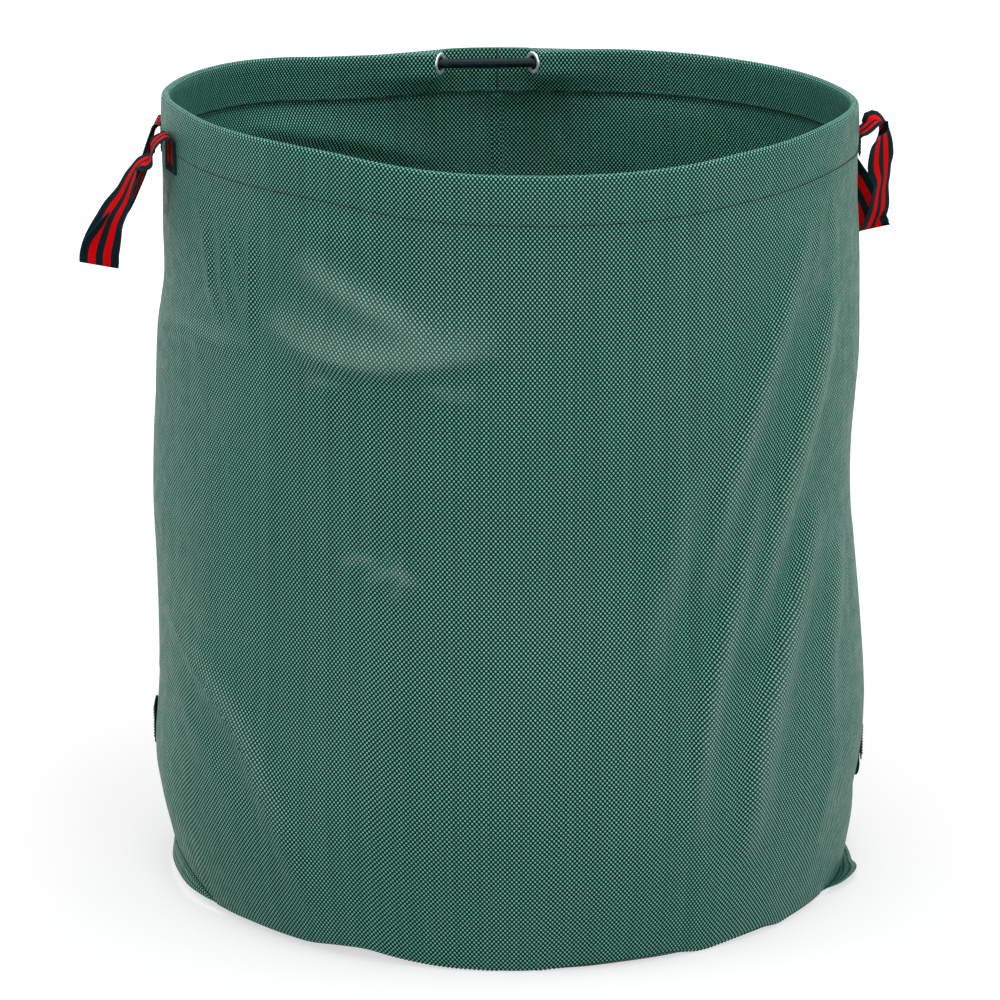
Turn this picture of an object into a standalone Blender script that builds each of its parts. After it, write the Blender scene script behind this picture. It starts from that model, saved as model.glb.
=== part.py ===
# Pop up leaf bag: a round self-standing garden bag of woven cloth. A sprung hoop in the hem of the
# mouth holds it open. The hoop's two ends meet in a sleeve that bridges two eyelets at the back.
# Two webbing handles hang from the hem and two lie low on the wall, for tipping the bag out.
# Metres, +Z up. The origin is the middle of the underside, the front looks along -Y.

import math

import bmesh
import bpy
import numpy as np
from mathutils import Matrix, Vector

# Cloth and bag
rim_radius = 0.335
bag_height = 0.760
cloth = 0.0006
gap = 0.0003
hem_height = 0.046
standing_height = 0.180
wall_bulge = 0.016
buckle_depth = 0.0025
seam_lip = 0.010
seam_azimuth = 92.2
seam_strip_width = 0.012
seam_strip_thickness = 0.0011

# Sprung hoop, the sleeve over its joint, and the eyelets that the sleeve enters
hoop_diameter = 0.006
hoop_end_gap = 0.002
pocket_ease = 0.0004
joint_azimuth = 94.4
sleeve_diameter = 0.010
sleeve_bore = 0.0068
sleeve_length = 0.104
sleeve_set_in = 0.0185
sleeve_drop = 0.0120
hoop_joins_rim_at = 30.0
eyelet_spacing = 0.097
eyelet_turn = 30.0
eyelet_diameter = 0.0235
eyelet_hole = 0.0144
barrel_wall = 0.0006
flange_thickness = 0.0014
washer_thickness = 0.0009
patch_margin = 0.00065
tent_fade = 0.020
flat_hem_depth = 0.0022

# Webbing handles and thread
webbing_width = 0.038
webbing_thickness = 0.0014
tab_spacing = 0.1286
tab_clearance = 0.003
fold_radius = 0.008
strap_layers = 0.004
lower_tab_length = 0.035
lower_bow = 0.007
lower_tip = 15.0
lower_sag = 0.042
lower_settling_share = 0.5
thread_diameter = 0.0007
stitch_margin = 0.004

left_upper = {"azimuth": 188.0, "drop": 0.005, "hang": 0.134, "reach": 0.0611}
right_upper = {"azimuth": 10.0, "drop": 0.005, "hang": 0.120, "reach": 0.0185}
left_lower = {"azimuth": 172.0, "height": 0.144}
right_lower = {"azimuth": 8.0, "height": 0.126}

# How the wall swells between base and hem: share of its height, share of the bulge
wall_bulge_share = [
    (0.0, -0.34), (0.04, 0.12), (0.09, 0.5), (0.14, 0.8), (0.20, 1.0), (0.28, 0.93), (0.36, 0.76), (0.44, 0.57),
    (0.54, 0.42), (0.64, 0.36), (0.74, 0.32), (0.85, 0.10), (1.0, 0.0),
]

# One leg of a hanging handle, from the fold at its tab down to the turn at its end: shares of its reach
# outwards, of half the tab spacing forwards and of its hang downwards, and its turn in degrees
left_front_leg_share = [
    (0.000, 0.97, 0.00, 0), (0.106, 0.90, 0.04, 0), (0.180, 0.81, 0.10, 0), (0.213, 0.73, 0.165, 0),
    (0.262, 0.70, 0.20, 0), (0.376, 0.65, 0.225, 0), (0.491, 0.59, 0.275, 8), (0.574, 0.53, 0.365, 20),
    (0.646, 0.39, 0.50, 35), (0.799, 0.23, 0.64, 50), (0.867, 0.17, 0.73, 62), (0.984, 0.10, 0.90, 85),
    (1.000, 0.09, 1.00, 90),
]
left_rear_leg_share = [
    (0.000, -0.97, 0.00, 0), (0.090, -0.82, 0.02, 2), (0.130, -0.60, 0.09, 8), (0.170, -0.42, 0.18, 18),
    (0.220, -0.28, 0.28, 28), (0.305, -0.19, 0.38, 38), (0.416, -0.14, 0.49, 48), (0.549, -0.09, 0.60, 60),
    (0.729, -0.02, 0.70, 72), (0.877, 0.02, 0.80, 82), (0.984, 0.03, 0.90, 88), (1.000, 0.03, 1.00, 90),
]
right_front_leg_share = [
    (0.000, 0.97, 0.000, 0), (0.150, 0.94, 0.010, 0), (0.310, 0.88, 0.045, 2), (0.500, 0.79, 0.085, 10),
    (0.660, 0.72, 0.175, 25), (0.820, 0.62, 0.330, 38), (0.955, 0.54, 0.487, 38), (1.010, 0.46, 0.633, 34),
    (1.020, 0.39, 0.770, 46), (1.010, 0.34, 0.908, 62), (1.000, 0.31, 1.000, 68),
]
right_rear_leg_share = [
    (0.000, -0.97, 0.000, 0), (0.150, -0.90, 0.010, 1), (0.360, -0.78, 0.052, 5), (0.590, -0.56, 0.120, 14),
    (0.760, -0.34, 0.220, 24), (0.870, -0.12, 0.358, 32), (0.925, 0.06, 0.505, 36), (0.955, 0.15, 0.643, 38),
    (0.990, 0.20, 0.780, 48), (1.000, 0.23, 0.908, 62), (1.000, 0.248, 1.000, 68),
]

# Fineness of the meshes
wall_columns = 72
lower_wall_rows = 5
upper_wall_rows = 8
rim_step = 5.0
round_steps = 20
leg_steps = 2
lower_loop_steps = 14
settling_stations = 4

# Sizes that follow
hem_bottom = bag_height - hem_height
pocket_radius = hoop_diameter / 2 + gap + cloth / 2 + pocket_ease
rim_top = bag_height - cloth / 2
hoop_height = rim_top - pocket_radius
sleeve_height = bag_height - sleeve_drop
sleeve_radius_out = rim_radius - sleeve_set_in
patch_half = eyelet_diameter / 2 + patch_margin
rear_top = sleeve_height + patch_half
step_reach = patch_half * math.sin(math.radians(eyelet_turn))
step_depth = patch_half * math.cos(math.radians(eyelet_turn))
foot_radius = rim_radius + wall_bulge * wall_bulge_share[0][1]
strap_stand_off = cloth / 2 + gap + webbing_thickness / 2
facet_sag = rim_radius * (1 - math.cos(math.pi / wall_columns))


def material(name, colour, roughness, metallic=0.0):
    """A plain finish: the colour is three sRGB shares."""
    made = bpy.data.materials.new(name)
    made.use_nodes = True
    shader = made.node_tree.nodes["Principled BSDF"]
    linear = [(c / 12.92) if c <= 0.04045 else ((c + 0.055) / 1.055) ** 2.4 for c in colour]
    shader.inputs["Base Color"].default_value = (*linear, 1.0)
    shader.inputs["Roughness"].default_value = roughness
    shader.inputs["Metallic"].default_value = metallic
    return made


def place(name, data, finish):
    """Puts a mesh or curve into the scene as the sub-part of that name."""
    made = bpy.data.objects.new(name, data)
    bpy.context.scene.collection.objects.link(made)
    made.data.materials.append(finish)
    return made


def sheet(name, grid, thickness, finish, closed=False):
    """A sheet of cloth or webbing on a grid of points (rows, columns, 3), given its thickness by Solidify.
    A closed sheet joins its last column to its first."""
    rows, columns = grid.shape[:2]
    body = bmesh.new()
    points = [[body.verts.new(p) for p in row] for row in grid.tolist()]
    last = columns if closed else columns - 1
    for r in range(rows - 1):
        for c in range(last):
            n = (c + 1) % columns
            body.faces.new((points[r][c], points[r][n], points[r + 1][n], points[r + 1][c]))
    data = bpy.data.meshes.new(name)
    body.to_mesh(data)
    body.free()
    data.shade_smooth()
    made = place(name, data, finish)
    thicken = made.modifiers.new("thickness", "SOLIDIFY")
    thicken.thickness = thickness
    thicken.offset = 0.0
    return made


def rod(name, points, diameter, finish, closed=False, sides=8):
    """A round rod or thread along the points."""
    data = bpy.data.curves.new(name, "CURVE")
    data.dimensions = "3D"
    data.bevel_depth = diameter / 2
    data.bevel_resolution = (sides - 4) // 2
    data.use_fill_caps = not closed
    spline = data.splines.new("POLY")
    spline.points.add(len(points) - 1)
    spline.points.foreach_set("co", np.column_stack([points, np.ones(len(points))]).ravel())
    spline.use_cyclic_u = closed
    return place(name, data, finish)


def turned(name, profile, placement, finish):
    """A closed profile of (radius, height) points spun about its axis, then put in place."""
    body = bmesh.new()
    loop = [body.verts.new((r, 0, z)) for r, z in profile]
    edges = [body.edges.new((loop[i], loop[(i + 1) % len(loop)])) for i in range(len(loop))]
    bmesh.ops.spin(body, geom=loop + edges, axis=(0, 0, 1), cent=(0, 0, 0), angle=math.tau,
                   steps=round_steps, use_merge=True)
    bmesh.ops.recalc_face_normals(body, faces=body.faces)
    data = bpy.data.meshes.new(name)
    body.to_mesh(data)
    body.free()
    data.shade_smooth()
    data.set_sharp_from_angle(angle=math.radians(40))
    made = place(name, data, finish)
    made.matrix_world = placement
    return made


def smooth_through(known, at):
    """Values at the places asked for, on a smooth curve through the known (place, value) pairs."""
    x, y = np.array(known, float).T
    slope = np.gradient(y, x)
    i = np.clip(np.searchsorted(x, at, side="right") - 1, 0, len(x) - 2)
    h = x[i + 1] - x[i]
    t = np.clip((at - x[i]) / h, 0, 1)
    a, b = 2 * t**3 - 3 * t**2 + 1, t**3 - 2 * t**2 + t
    return a * y[i] + b * h * slope[i] + (1 - a) * y[i + 1] + (t**3 - t**2) * h * slope[i + 1]


def smooth_path(points, steps):
    """Points on a smooth curve through the given ones, with so many steps between each pair."""
    known = np.array(points, float)
    place_of = np.arange(len(known))
    at = np.linspace(0, len(known) - 1, (len(known) - 1) * steps + 1)
    return np.column_stack([smooth_through(np.column_stack([place_of, column]), at) for column in known.T])


def round_point(radius, azimuth, height):
    """The point at that radius, azimuth in radians and height, for numbers or arrays."""
    radius, azimuth, height = np.broadcast_arrays(radius, azimuth, height)
    return np.stack([radius * np.cos(azimuth), radius * np.sin(azimuth), height], axis=-1)


def wall_radius(azimuth, height):
    """The middle of the wall cloth: it swells between base and hem, with two slow buckles across it."""
    share = np.clip(height / hem_bottom, 0, 1)
    buckle = np.cos(5 * azimuth + 4 * share) * 0.6 + np.cos(9 * azimuth - 5 * share) * 0.4
    free = np.sin(math.pi * share) ** 2
    return rim_radius + wall_bulge * smooth_through(wall_bulge_share, share) + buckle_depth * free * buckle


def hoop_radius(offset):
    """The hoop's radius at that angle from its joint: straight through the sleeve, then out to the rim."""
    straight_end = math.atan((sleeve_length / 2 + fold_radius / 2) / sleeve_radius_out)
    rim_end = math.radians(hoop_joins_rim_at)
    far = rim_radius - pocket_radius
    near = sleeve_radius_out / math.cos(straight_end)
    slope = near * math.tan(straight_end) * (rim_end - straight_end)
    t = np.clip((offset - straight_end) / (rim_end - straight_end), 0, 1)
    bend = (2 * t**3 - 3 * t**2 + 1) * near + (t**3 - 2 * t**2 + t) * slope + (3 * t**2 - 2 * t**3) * far
    return np.where(offset < straight_end, sleeve_radius_out / np.cos(np.minimum(offset, straight_end)), bend)


def to_rim(offset):
    """How far the hoop has left the height of its joint for the height of the rim, from 0 to 1."""
    start, end = eyelet_outer_offset, math.radians(hoop_joins_rim_at)
    t = np.clip((offset - start) / (end - start), 0, 1)
    return t * t * (3 - 2 * t)


# The two upright edges of the flat patch under an eyelet, as angles from the joint and depths in from the rim
inner_edge = np.array([eyelet_spacing / 2 - step_reach, sleeve_radius_out + step_depth])
outer_edge = np.array([eyelet_spacing / 2 + step_reach, sleeve_radius_out - step_depth])
eyelet_inner_offset = math.atan2(*inner_edge)
eyelet_outer_offset = math.atan2(*outer_edge)
inner_depth = rim_radius - np.linalg.norm(inner_edge)
outer_depth = rim_radius - np.linalg.norm(outer_edge)


def hem_depth(offset):
    """How far the hem's inner side lies in from its outer side: flat behind the sleeve, stepping in
    under each eyelet, and then a pocket round the hoop that settles to its own width."""
    behind = flat_hem_depth + (inner_depth - flat_hem_depth) * (offset / eyelet_inner_offset) ** 2
    pocket = rim_radius - hoop_radius(offset) + pocket_radius
    tent = outer_depth - (rim_radius - hoop_radius(np.array(eyelet_outer_offset)) + pocket_radius)
    fade = np.exp(-(offset - eyelet_outer_offset) * rim_radius / tent_fade)
    between = (eyelet_inner_offset + eyelet_outer_offset) / 2
    return np.where(offset < between, behind, pocket + tent * fade)


def rim_offsets():
    """Angles from the hoop's joint, round the rim: finer near the eyelets, even elsewhere."""
    near = [eyelet_inner_offset / 2, eyelet_inner_offset, eyelet_outer_offset]
    ease = [math.radians(d) for d in (13.0, 16.5, 20.5, 25.0)]
    even = [math.radians(d) for d in np.arange(hoop_joins_rim_at, 180.0, rim_step)]
    half = near + ease + even
    return np.array([0.0, *half, math.pi, *[math.tau - a for a in reversed(half)]])


def rim_frame(offset):
    """The azimuth, and the angle from the joint without its sign, at those angles round the rim."""
    return math.radians(joint_azimuth) + offset, np.minimum(offset, math.tau - offset)


def rim_hem(finish):
    """The hem: an arch of cloth over the hoop, open only along the line where its two sides are sewn."""
    azimuth, offset = rim_frame(rim_offsets())
    depth, rim = hem_depth(offset), to_rim(offset)
    top = rear_top + (rim_top - rear_top) * rim
    low_edge = sleeve_height - patch_half
    zero = np.zeros_like(offset)
    rows = [
        (zero, zero + hem_bottom),
        (zero, zero + (hem_bottom + rim_top) / 2),
        (zero, top - pocket_radius),
        (0.15 * depth, top - 0.3 * pocket_radius * rim),
        (0.5 * depth, top),
        (0.85 * depth, top - 0.3 * pocket_radius * rim),
        (depth, top - pocket_radius * rim),
        (depth * (1 - 0.07 * rim), low_edge + (rim_top - 3 * pocket_radius - low_edge) * rim),
        (depth * (0.45 + 0.1 * rim), hem_bottom + (low_edge - hem_bottom) * (0.5 + 0.2 * rim)),
        (zero + cloth + 3 * gap, zero + hem_bottom),
    ]
    grid = np.stack([round_point(rim_radius - d, azimuth, z) for d, z in rows])
    hem = sheet("rim_hem", grid[:, ::-1], cloth, finish, closed=True)
    for side in (-1, 1):
        cutter = bpy.data.objects.new(f"eyelet_cutter_{side}", eyelet_cutter_mesh())
        bpy.context.scene.collection.objects.link(cutter)
        cutter.matrix_world = eyelet_placement(side)
        cutter.hide_render = True
        cutter.display_type = "WIRE"
        cut = hem.modifiers.new("eyelet hole", "BOOLEAN")
        cut.operation = "DIFFERENCE"
        cut.object = cutter
    return hem


def eyelet_cutter_mesh():
    body = bmesh.new()
    radius = eyelet_hole / 2 + barrel_wall + gap
    bmesh.ops.create_cone(body, cap_ends=True, segments=round_steps, radius1=radius, radius2=radius,
                          depth=4 * flange_thickness)
    data = bpy.data.meshes.new("eyelet_cutter")
    body.to_mesh(data)
    body.free()
    return data


def joint_placement():
    """Turns and moves a piece from the joint's own directions (+X along the sleeve, +Y outwards) to its place."""
    return Matrix.Rotation(math.radians(joint_azimuth - 90), 4, "Z")


def eyelet_placement(side):
    """An eyelet's place: side -1 stands at the sleeve's -X end. Its +Z points out of its visible face."""
    turn = math.radians(eyelet_turn)
    face = Vector((-side * math.cos(turn), -math.sin(turn), 0))
    centre = Vector((side * eyelet_spacing / 2, sleeve_radius_out, sleeve_height))
    return joint_placement() @ Matrix.Translation(centre) @ face.to_track_quat("Z", "Y").to_matrix().to_4x4()


def eyelets(finish):
    """Each eyelet is two pressed pieces: a flange with its barrel, and a washer behind the cloth."""
    hole, barrel, outer = eyelet_hole / 2, eyelet_hole / 2 + barrel_wall, eyelet_diameter / 2
    seat = cloth / 2 + gap
    crown = seat + flange_thickness
    tail = -(seat + washer_thickness + gap)
    flange = [
        (hole, tail), (barrel, tail), (barrel, seat), (0.97 * outer, seat), (outer, (seat + crown) / 2),
        (0.94 * outer, crown - 0.2 * flange_thickness), ((hole + outer) / 2, crown),
        (barrel, crown - 0.15 * flange_thickness), (hole, (seat + crown) / 2),
    ]
    washer_edge = -(seat + washer_thickness)
    washer = [
        (barrel + gap, -seat), (barrel + gap, washer_edge), (0.95 * outer, washer_edge),
        (0.97 * outer, -(seat + washer_thickness / 2)), (0.97 * outer, -seat),
    ]
    for side, word in ((-1, "left"), (1, "right")):
        turned(f"eyelet_{word}", flange, eyelet_placement(side), finish)
        turned(f"eyelet_washer_{word}", washer, eyelet_placement(side), finish)


def hoop_and_sleeve(rod_finish, sleeve_finish):
    """The hoop runs all round inside the hem, comes out of one eyelet and back in at the other. Its ends
    nearly meet inside the sleeve."""
    all_round = rim_offsets()
    bent = all_round[(all_round > eyelet_outer_offset) & (all_round < math.tau - eyelet_outer_offset)]
    near = [math.atan(x / sleeve_radius_out) for x in (hoop_end_gap / 2, eyelet_spacing / 4, eyelet_spacing / 2)]
    stations = np.array([*near, *bent, *[math.tau - a for a in reversed(near)]])
    azimuth, offset = rim_frame(stations)
    height = sleeve_height + (hoop_height - sleeve_height) * to_rim(offset)
    rod("spring_hoop", round_point(hoop_radius(offset), azimuth, height), hoop_diameter, rod_finish)
    inner, outer, half = sleeve_bore / 2, sleeve_diameter / 2, sleeve_length / 2
    edge = (outer - inner) / 3
    profile = [(inner, -half), (outer - edge, -half), (outer, -half + edge),
               (outer, half - edge), (outer - edge, half), (inner, half)]
    centre = Vector((0, sleeve_radius_out, sleeve_height))
    lie_down = Matrix.Rotation(math.radians(90), 4, "Y")
    turned("hoop_sleeve", profile, joint_placement() @ Matrix.Translation(centre) @ lie_down, sleeve_finish)


def walls(finish):
    """The wall cloth: the lower band ends in the seam lip under it, the upper band reaches the hem."""
    azimuth = np.linspace(0, math.tau, wall_columns, endpoint=False)
    lip_height = cloth + gap + cloth / 2
    low = np.linspace(0, 1, lower_wall_rows + 1)[1:] ** 1.5 * (standing_height - gap / 2 - lip_height) + lip_height
    lip = [round_point(foot_radius + seam_lip, azimuth, lip_height), round_point(foot_radius, azimuth, lip_height)]
    rows = lip + [round_point(wall_radius(azimuth, z), azimuth, z) for z in low]
    sheet("wall_lower", np.stack(rows), cloth, finish, closed=True)
    high = np.linspace(standing_height + gap / 2, hem_bottom - gap, upper_wall_rows + 1)
    rows = [round_point(wall_radius(azimuth, z), azimuth, z) for z in high]
    sheet("wall_upper", np.stack(rows), cloth, finish, closed=True)
    half = seam_strip_width / 2 / rim_radius
    across = math.radians(seam_azimuth) + np.array([-half, 0, half])
    inwards = cloth / 2 + gap + facet_sag + seam_strip_thickness / 2
    seam_foot = lip_height + 2 * seam_strip_thickness
    for name, heights in (("rear_seam_lower", np.array([seam_foot, *low[low > seam_foot]])), ("rear_seam_upper", high)):
        rows = [round_point(wall_radius(across, z) - inwards, across, z) for z in heights]
        sheet(name, np.stack(rows), seam_strip_thickness, finish)


def base_panel(finish):
    """The round bottom cloth, as wide as the seam lip that it is sewn to. Its underside is flat."""
    body = bmesh.new()
    bmesh.ops.create_circle(body, cap_ends=True, segments=wall_columns, radius=foot_radius + seam_lip)
    whole = bmesh.ops.extrude_face_region(body, geom=list(body.faces))
    top = [v for v in whole["geom"] if isinstance(v, bmesh.types.BMVert)]
    bmesh.ops.translate(body, vec=(0, 0, cloth), verts=top)
    bmesh.ops.recalc_face_normals(body, faces=body.faces)
    data = bpy.data.meshes.new("base_panel")
    body.to_mesh(data)
    body.free()
    return place("base_panel", data, finish)


def ring_threads(finish):
    """The hem's line of stitches, and the line that joins wall and base through the seam lip."""
    stand_off = cloth / 2 + gap + thread_diameter / 2
    azimuth, _ = rim_frame(rim_offsets())
    hem_line = round_point(rim_radius + stand_off, azimuth, hem_bottom + thread_diameter)
    rod("hem_stitching", hem_line, thread_diameter, finish, closed=True, sides=4)
    azimuth = np.linspace(0, math.tau, wall_columns, endpoint=False)
    lip_line = round_point(foot_radius + seam_lip / 2, azimuth, cloth + gap + cloth / 2 + stand_off)
    rod("base_stitching", lip_line, thread_diameter, finish, closed=True, sides=4)


def handle_frame(azimuth, height, radius):
    """A handle's middle, and its directions outwards and forwards along the wall."""
    a = math.radians(azimuth)
    out = np.array([math.cos(a), math.sin(a), 0])
    forward = np.array([-out[1], out[0], 0])
    if forward[1] > 0:
        forward = -forward
    return radius * out + np.array([0, 0, height]), out, forward


def box_stitch(name, grid, outwards, finish):
    """The sewn outline on a tab: a closed line just inside its edges, lying on its face."""
    line = np.vstack([grid[0], grid[1:-1, -1], grid[-1, ::-1], grid[-2:0:-1, 0]])
    lift = webbing_thickness / 2 + gap + thread_diameter / 2
    rod(name, line + outwards * lift, thread_diameter, finish, closed=True, sides=4)


def on_wall(azimuths, heights, stand_off):
    """A patch of points that lies on the cloth, and the direction out of the cloth at its middle."""
    spread, rise = np.meshgrid(azimuths, heights)
    radius = np.where(rise < hem_bottom, wall_radius(spread, np.minimum(rise, hem_bottom)), rim_radius)
    middle = azimuths.mean()
    return round_point(radius + stand_off, spread, rise), np.array([math.cos(middle), math.sin(middle), 0])


def upper_handle(word, handle, front_leg_share, rear_leg_share, finish, thread_finish):
    """One strap: sewn up the hem at both tabs, folded outwards over them, and hanging as a loop."""
    half_angle = math.asin(tab_spacing / 2 / rim_radius)
    tab_radius = rim_radius + strap_stand_off
    top = bag_height - handle["drop"]
    tab_top = top - fold_radius
    tab_foot = hem_bottom + tab_clearance
    axis_radius = tab_radius * math.cos(half_angle) + fold_radius
    middle, out, forward = handle_frame(handle["azimuth"], top, axis_radius)
    up = np.array([0, 0, 1.0])
    across = np.linspace(-0.5, 0.5, 5) * webbing_width
    for sign, end in ((1, "front"), (-1, "rear")):
        toward = 1 if (forward @ [-out[1], out[0], 0]) > 0 else -1
        centre = math.radians(handle["azimuth"]) + sign * toward * half_angle
        sewn, face = on_wall(centre - sign * toward * across / tab_radius,
                             np.linspace(tab_foot, tab_top, 3), strap_stand_off)
        sideways = sewn[-1, -1] - sewn[-1, 0]
        sideways /= np.linalg.norm(sideways)
        rows = []
        for turn in np.radians([20, 40, 60, 75, 86]):
            share = turn / math.radians(86)
            width = sideways * (1 - share) - sign * forward * share
            width /= np.linalg.norm(width)
            spine = sewn[-1, 2] + out * fold_radius * (1 - math.cos(turn)) + up * fold_radius * math.sin(turn)
            flat = spine + np.outer(across, width)
            curved = sewn[-1] - sewn[-1, 2] + spine
            rows.append(curved * (1 - share) + flat * share)
        sheet(f"{word}_handle_{end}_tab", np.concatenate([sewn, np.stack(rows)]), webbing_thickness, finish)
        inset = np.linspace(-0.5, 0.5, 4) * (webbing_width - 2 * stitch_margin) / tab_radius
        line, face = on_wall(centre + inset, np.linspace(tab_foot + stitch_margin, tab_top - stitch_margin, 3),
                             strap_stand_off)
        box_stitch(f"{word}_handle_{end}_stitching", line, face, thread_finish)
    grid = loop_grid(handle, front_leg_share, rear_leg_share, middle, out, forward)
    sheet(f"{word}_handle_loop", grid, webbing_thickness, finish)


def square_to(spine, width, settled):
    """A strap's width directions, turned square to its run as far as settled says, from 0 to 1."""
    along = np.gradient(spine, axis=0)
    along /= np.linalg.norm(along, axis=1, keepdims=True)
    width = width - along * np.sum(width * along, axis=1, keepdims=True) * settled[:, None]
    return width / np.linalg.norm(width, axis=1, keepdims=True)


def loop_grid(handle, front_leg_share, rear_leg_share, middle, out, forward):
    """The hanging loop: both legs and the tight turn between them, with the strap's width turning from
    along the wall at the tabs to outwards at the end."""
    up = np.array([0, 0, 1.0])
    half = tab_spacing / 2
    legs = []
    for shares, sign in ((front_leg_share, 1), (rear_leg_share, -1)):
        table = np.array(shares, float)
        line = np.column_stack([table[:, 0] * handle["reach"], table[:, 1] * half, -table[:, 2] * handle["hang"]])
        line[0, 1] = sign * half
        turn = np.radians(table[:, 3])
        width = np.column_stack([np.sin(turn), -sign * np.cos(turn), np.zeros(len(turn))])
        legs.append(np.column_stack([line, width]))
    end = (legs[0][-1] + legs[1][-1]) / 2
    end[2] -= strap_layers / 2
    path = smooth_path(np.vstack([legs[0], end, legs[1][::-1]]), leg_steps)
    spine, width = path[:, :3], path[:, 3:]
    order = np.arange(len(spine))
    settled = np.clip(np.minimum(order, order[::-1]) / (settling_stations * leg_steps), 0, 1)
    width = square_to(spine, width, settled)
    axes = np.stack([out, forward, up])
    edges = [middle + (spine + width * webbing_width * s) @ axes for s in (-0.5, 0, 0.5)]
    return np.stack(edges, axis=1)


def lower_handle(word, handle, finish, thread_finish):
    """One strap low on the wall: sewn flat at both ends, with a slack loop that droops between them."""
    wall = float(wall_radius(np.array(math.radians(handle["azimuth"])), np.array(handle["height"])))
    inner_end = tab_spacing / 2 - lower_tab_length / 2
    middle, out, forward = handle_frame(handle["azimuth"], handle["height"], wall)
    tall = handle["height"] + np.linspace(-0.5, 0.5, 3) * webbing_width
    toward = 1 if (forward @ [-out[1], out[0], 0]) > 0 else -1
    for sign, end in ((1, "front"), (-1, "rear")):
        lengths = inner_end + gap + np.linspace(0, 1, 4) * lower_tab_length
        azimuths = math.radians(handle["azimuth"]) + sign * toward * lengths / wall
        sewn, face = on_wall(azimuths, tall, strap_stand_off)
        sheet(f"{word}_lower_handle_{end}_tab", sewn, webbing_thickness, finish)
        inset = stitch_margin / wall
        reach = np.linspace(azimuths[0] + sign * toward * inset, azimuths[-1] - sign * toward * inset, 4)
        tall_line = handle["height"] + np.linspace(-0.5, 0.5, 3) * (webbing_width - 2 * stitch_margin)
        line, face = on_wall(reach, tall_line, strap_stand_off)
        box_stitch(f"{word}_lower_handle_{end}_stitching", line, face, thread_finish)
    u = np.linspace(-1, 1, lower_loop_steps + 1)
    slack = (1 - u**2) ** 1.5
    azimuths = math.radians(handle["azimuth"]) + toward * inner_end * u / wall
    ends = round_point(wall_radius(azimuths, np.full_like(u, handle["height"])) + strap_stand_off, azimuths,
                       handle["height"])
    spine = ends + np.outer(slack * lower_bow, out) - np.outer(slack * lower_sag, [0, 0, 1])
    tip = math.radians(lower_tip) * slack
    width = np.outer(np.cos(tip), [0, 0, 1]) - np.outer(np.sin(tip), out)
    width = square_to(spine, width, np.clip((1 - np.abs(u)) / lower_settling_share, 0, 1))
    grid = np.stack([spine + width * webbing_width * s for s in (-0.5, 0, 0.5)], axis=1)
    sheet(f"{word}_lower_handle_loop", grid, webbing_thickness, finish)


def main():
    for old in list(bpy.data.objects):
        bpy.data.objects.remove(old)
    green = material("woven_green", (0.22, 0.42, 0.38), 0.5)
    webbing = material("striped_webbing", (0.75, 0.05, 0.06), 0.8)
    steel = material("eyelet_metal", (0.88, 0.91, 0.93), 0.25, 1.0)
    black = material("hoop_rod", (0.06, 0.08, 0.08), 0.4)
    tube = material("sleeve_tube", (0.09, 0.19, 0.19), 0.3)
    dark_thread = material("dark_thread", (0.05, 0.16, 0.15), 0.7)
    base_panel(green)
    walls(green)
    rim_hem(green)
    hoop_and_sleeve(black, tube)
    eyelets(steel)
    ring_threads(dark_thread)
    upper_handle("left", left_upper, left_front_leg_share, left_rear_leg_share, webbing, dark_thread)
    upper_handle("right", right_upper, right_front_leg_share, right_rear_leg_share, webbing, dark_thread)
    lower_handle("left", left_lower, webbing, dark_thread)
    lower_handle("right", right_lower, webbing, dark_thread)


main()
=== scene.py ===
import math

import bmesh
import bpy
import numpy as np
from mathutils import Matrix, Vector


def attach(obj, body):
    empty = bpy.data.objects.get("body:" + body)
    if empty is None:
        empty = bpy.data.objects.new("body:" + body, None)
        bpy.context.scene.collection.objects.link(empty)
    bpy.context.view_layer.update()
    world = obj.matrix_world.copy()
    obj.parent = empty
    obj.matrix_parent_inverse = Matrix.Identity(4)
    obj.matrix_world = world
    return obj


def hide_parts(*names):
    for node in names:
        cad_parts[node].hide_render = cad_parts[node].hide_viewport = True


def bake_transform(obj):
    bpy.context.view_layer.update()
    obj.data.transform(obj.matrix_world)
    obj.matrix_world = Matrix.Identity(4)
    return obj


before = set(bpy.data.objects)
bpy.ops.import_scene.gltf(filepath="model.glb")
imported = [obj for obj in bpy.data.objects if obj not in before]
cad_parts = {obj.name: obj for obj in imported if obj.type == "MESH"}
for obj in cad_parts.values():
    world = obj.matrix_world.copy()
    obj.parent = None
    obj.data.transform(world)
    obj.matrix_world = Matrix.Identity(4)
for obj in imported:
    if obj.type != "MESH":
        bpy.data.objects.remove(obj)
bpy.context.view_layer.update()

upward = np.array([0.0, 0.0, 1.0])


def srgb(text):
    # linear colour of an sRGB hex such as 59A190
    shares = [int(text[i:i + 2], 16) / 255 for i in (0, 2, 4)]
    return (*[c / 12.92 if c <= 0.04045 else ((c + 0.055) / 1.055) ** 2.4 for c in shares], 1.0)


def smoothThrough(places, values, at):
    # cubic Hermite curve through values (n or n x k) at rising places, each slope taken from the neighbours
    x, y = np.asarray(places, float), np.asarray(values, float)
    y = y.reshape(len(x), -1)
    slope = np.gradient(y, x, axis=0)
    at = np.asarray(at, float)
    i = np.clip(np.searchsorted(x, at, side="right") - 1, 0, len(x) - 2)
    h = (x[i + 1] - x[i])[..., None]
    t = np.clip((at - x[i])[..., None] / h, 0, 1)
    a, b = 2 * t**3 - 3 * t**2 + 1, t**3 - 2 * t**2 + t
    out = a * y[i] + b * h * slope[i] + (1 - a) * y[i + 1] + (t**3 - t**2) * h * slope[i + 1]
    return out[..., 0] if out.shape[-1] == 1 else out


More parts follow.
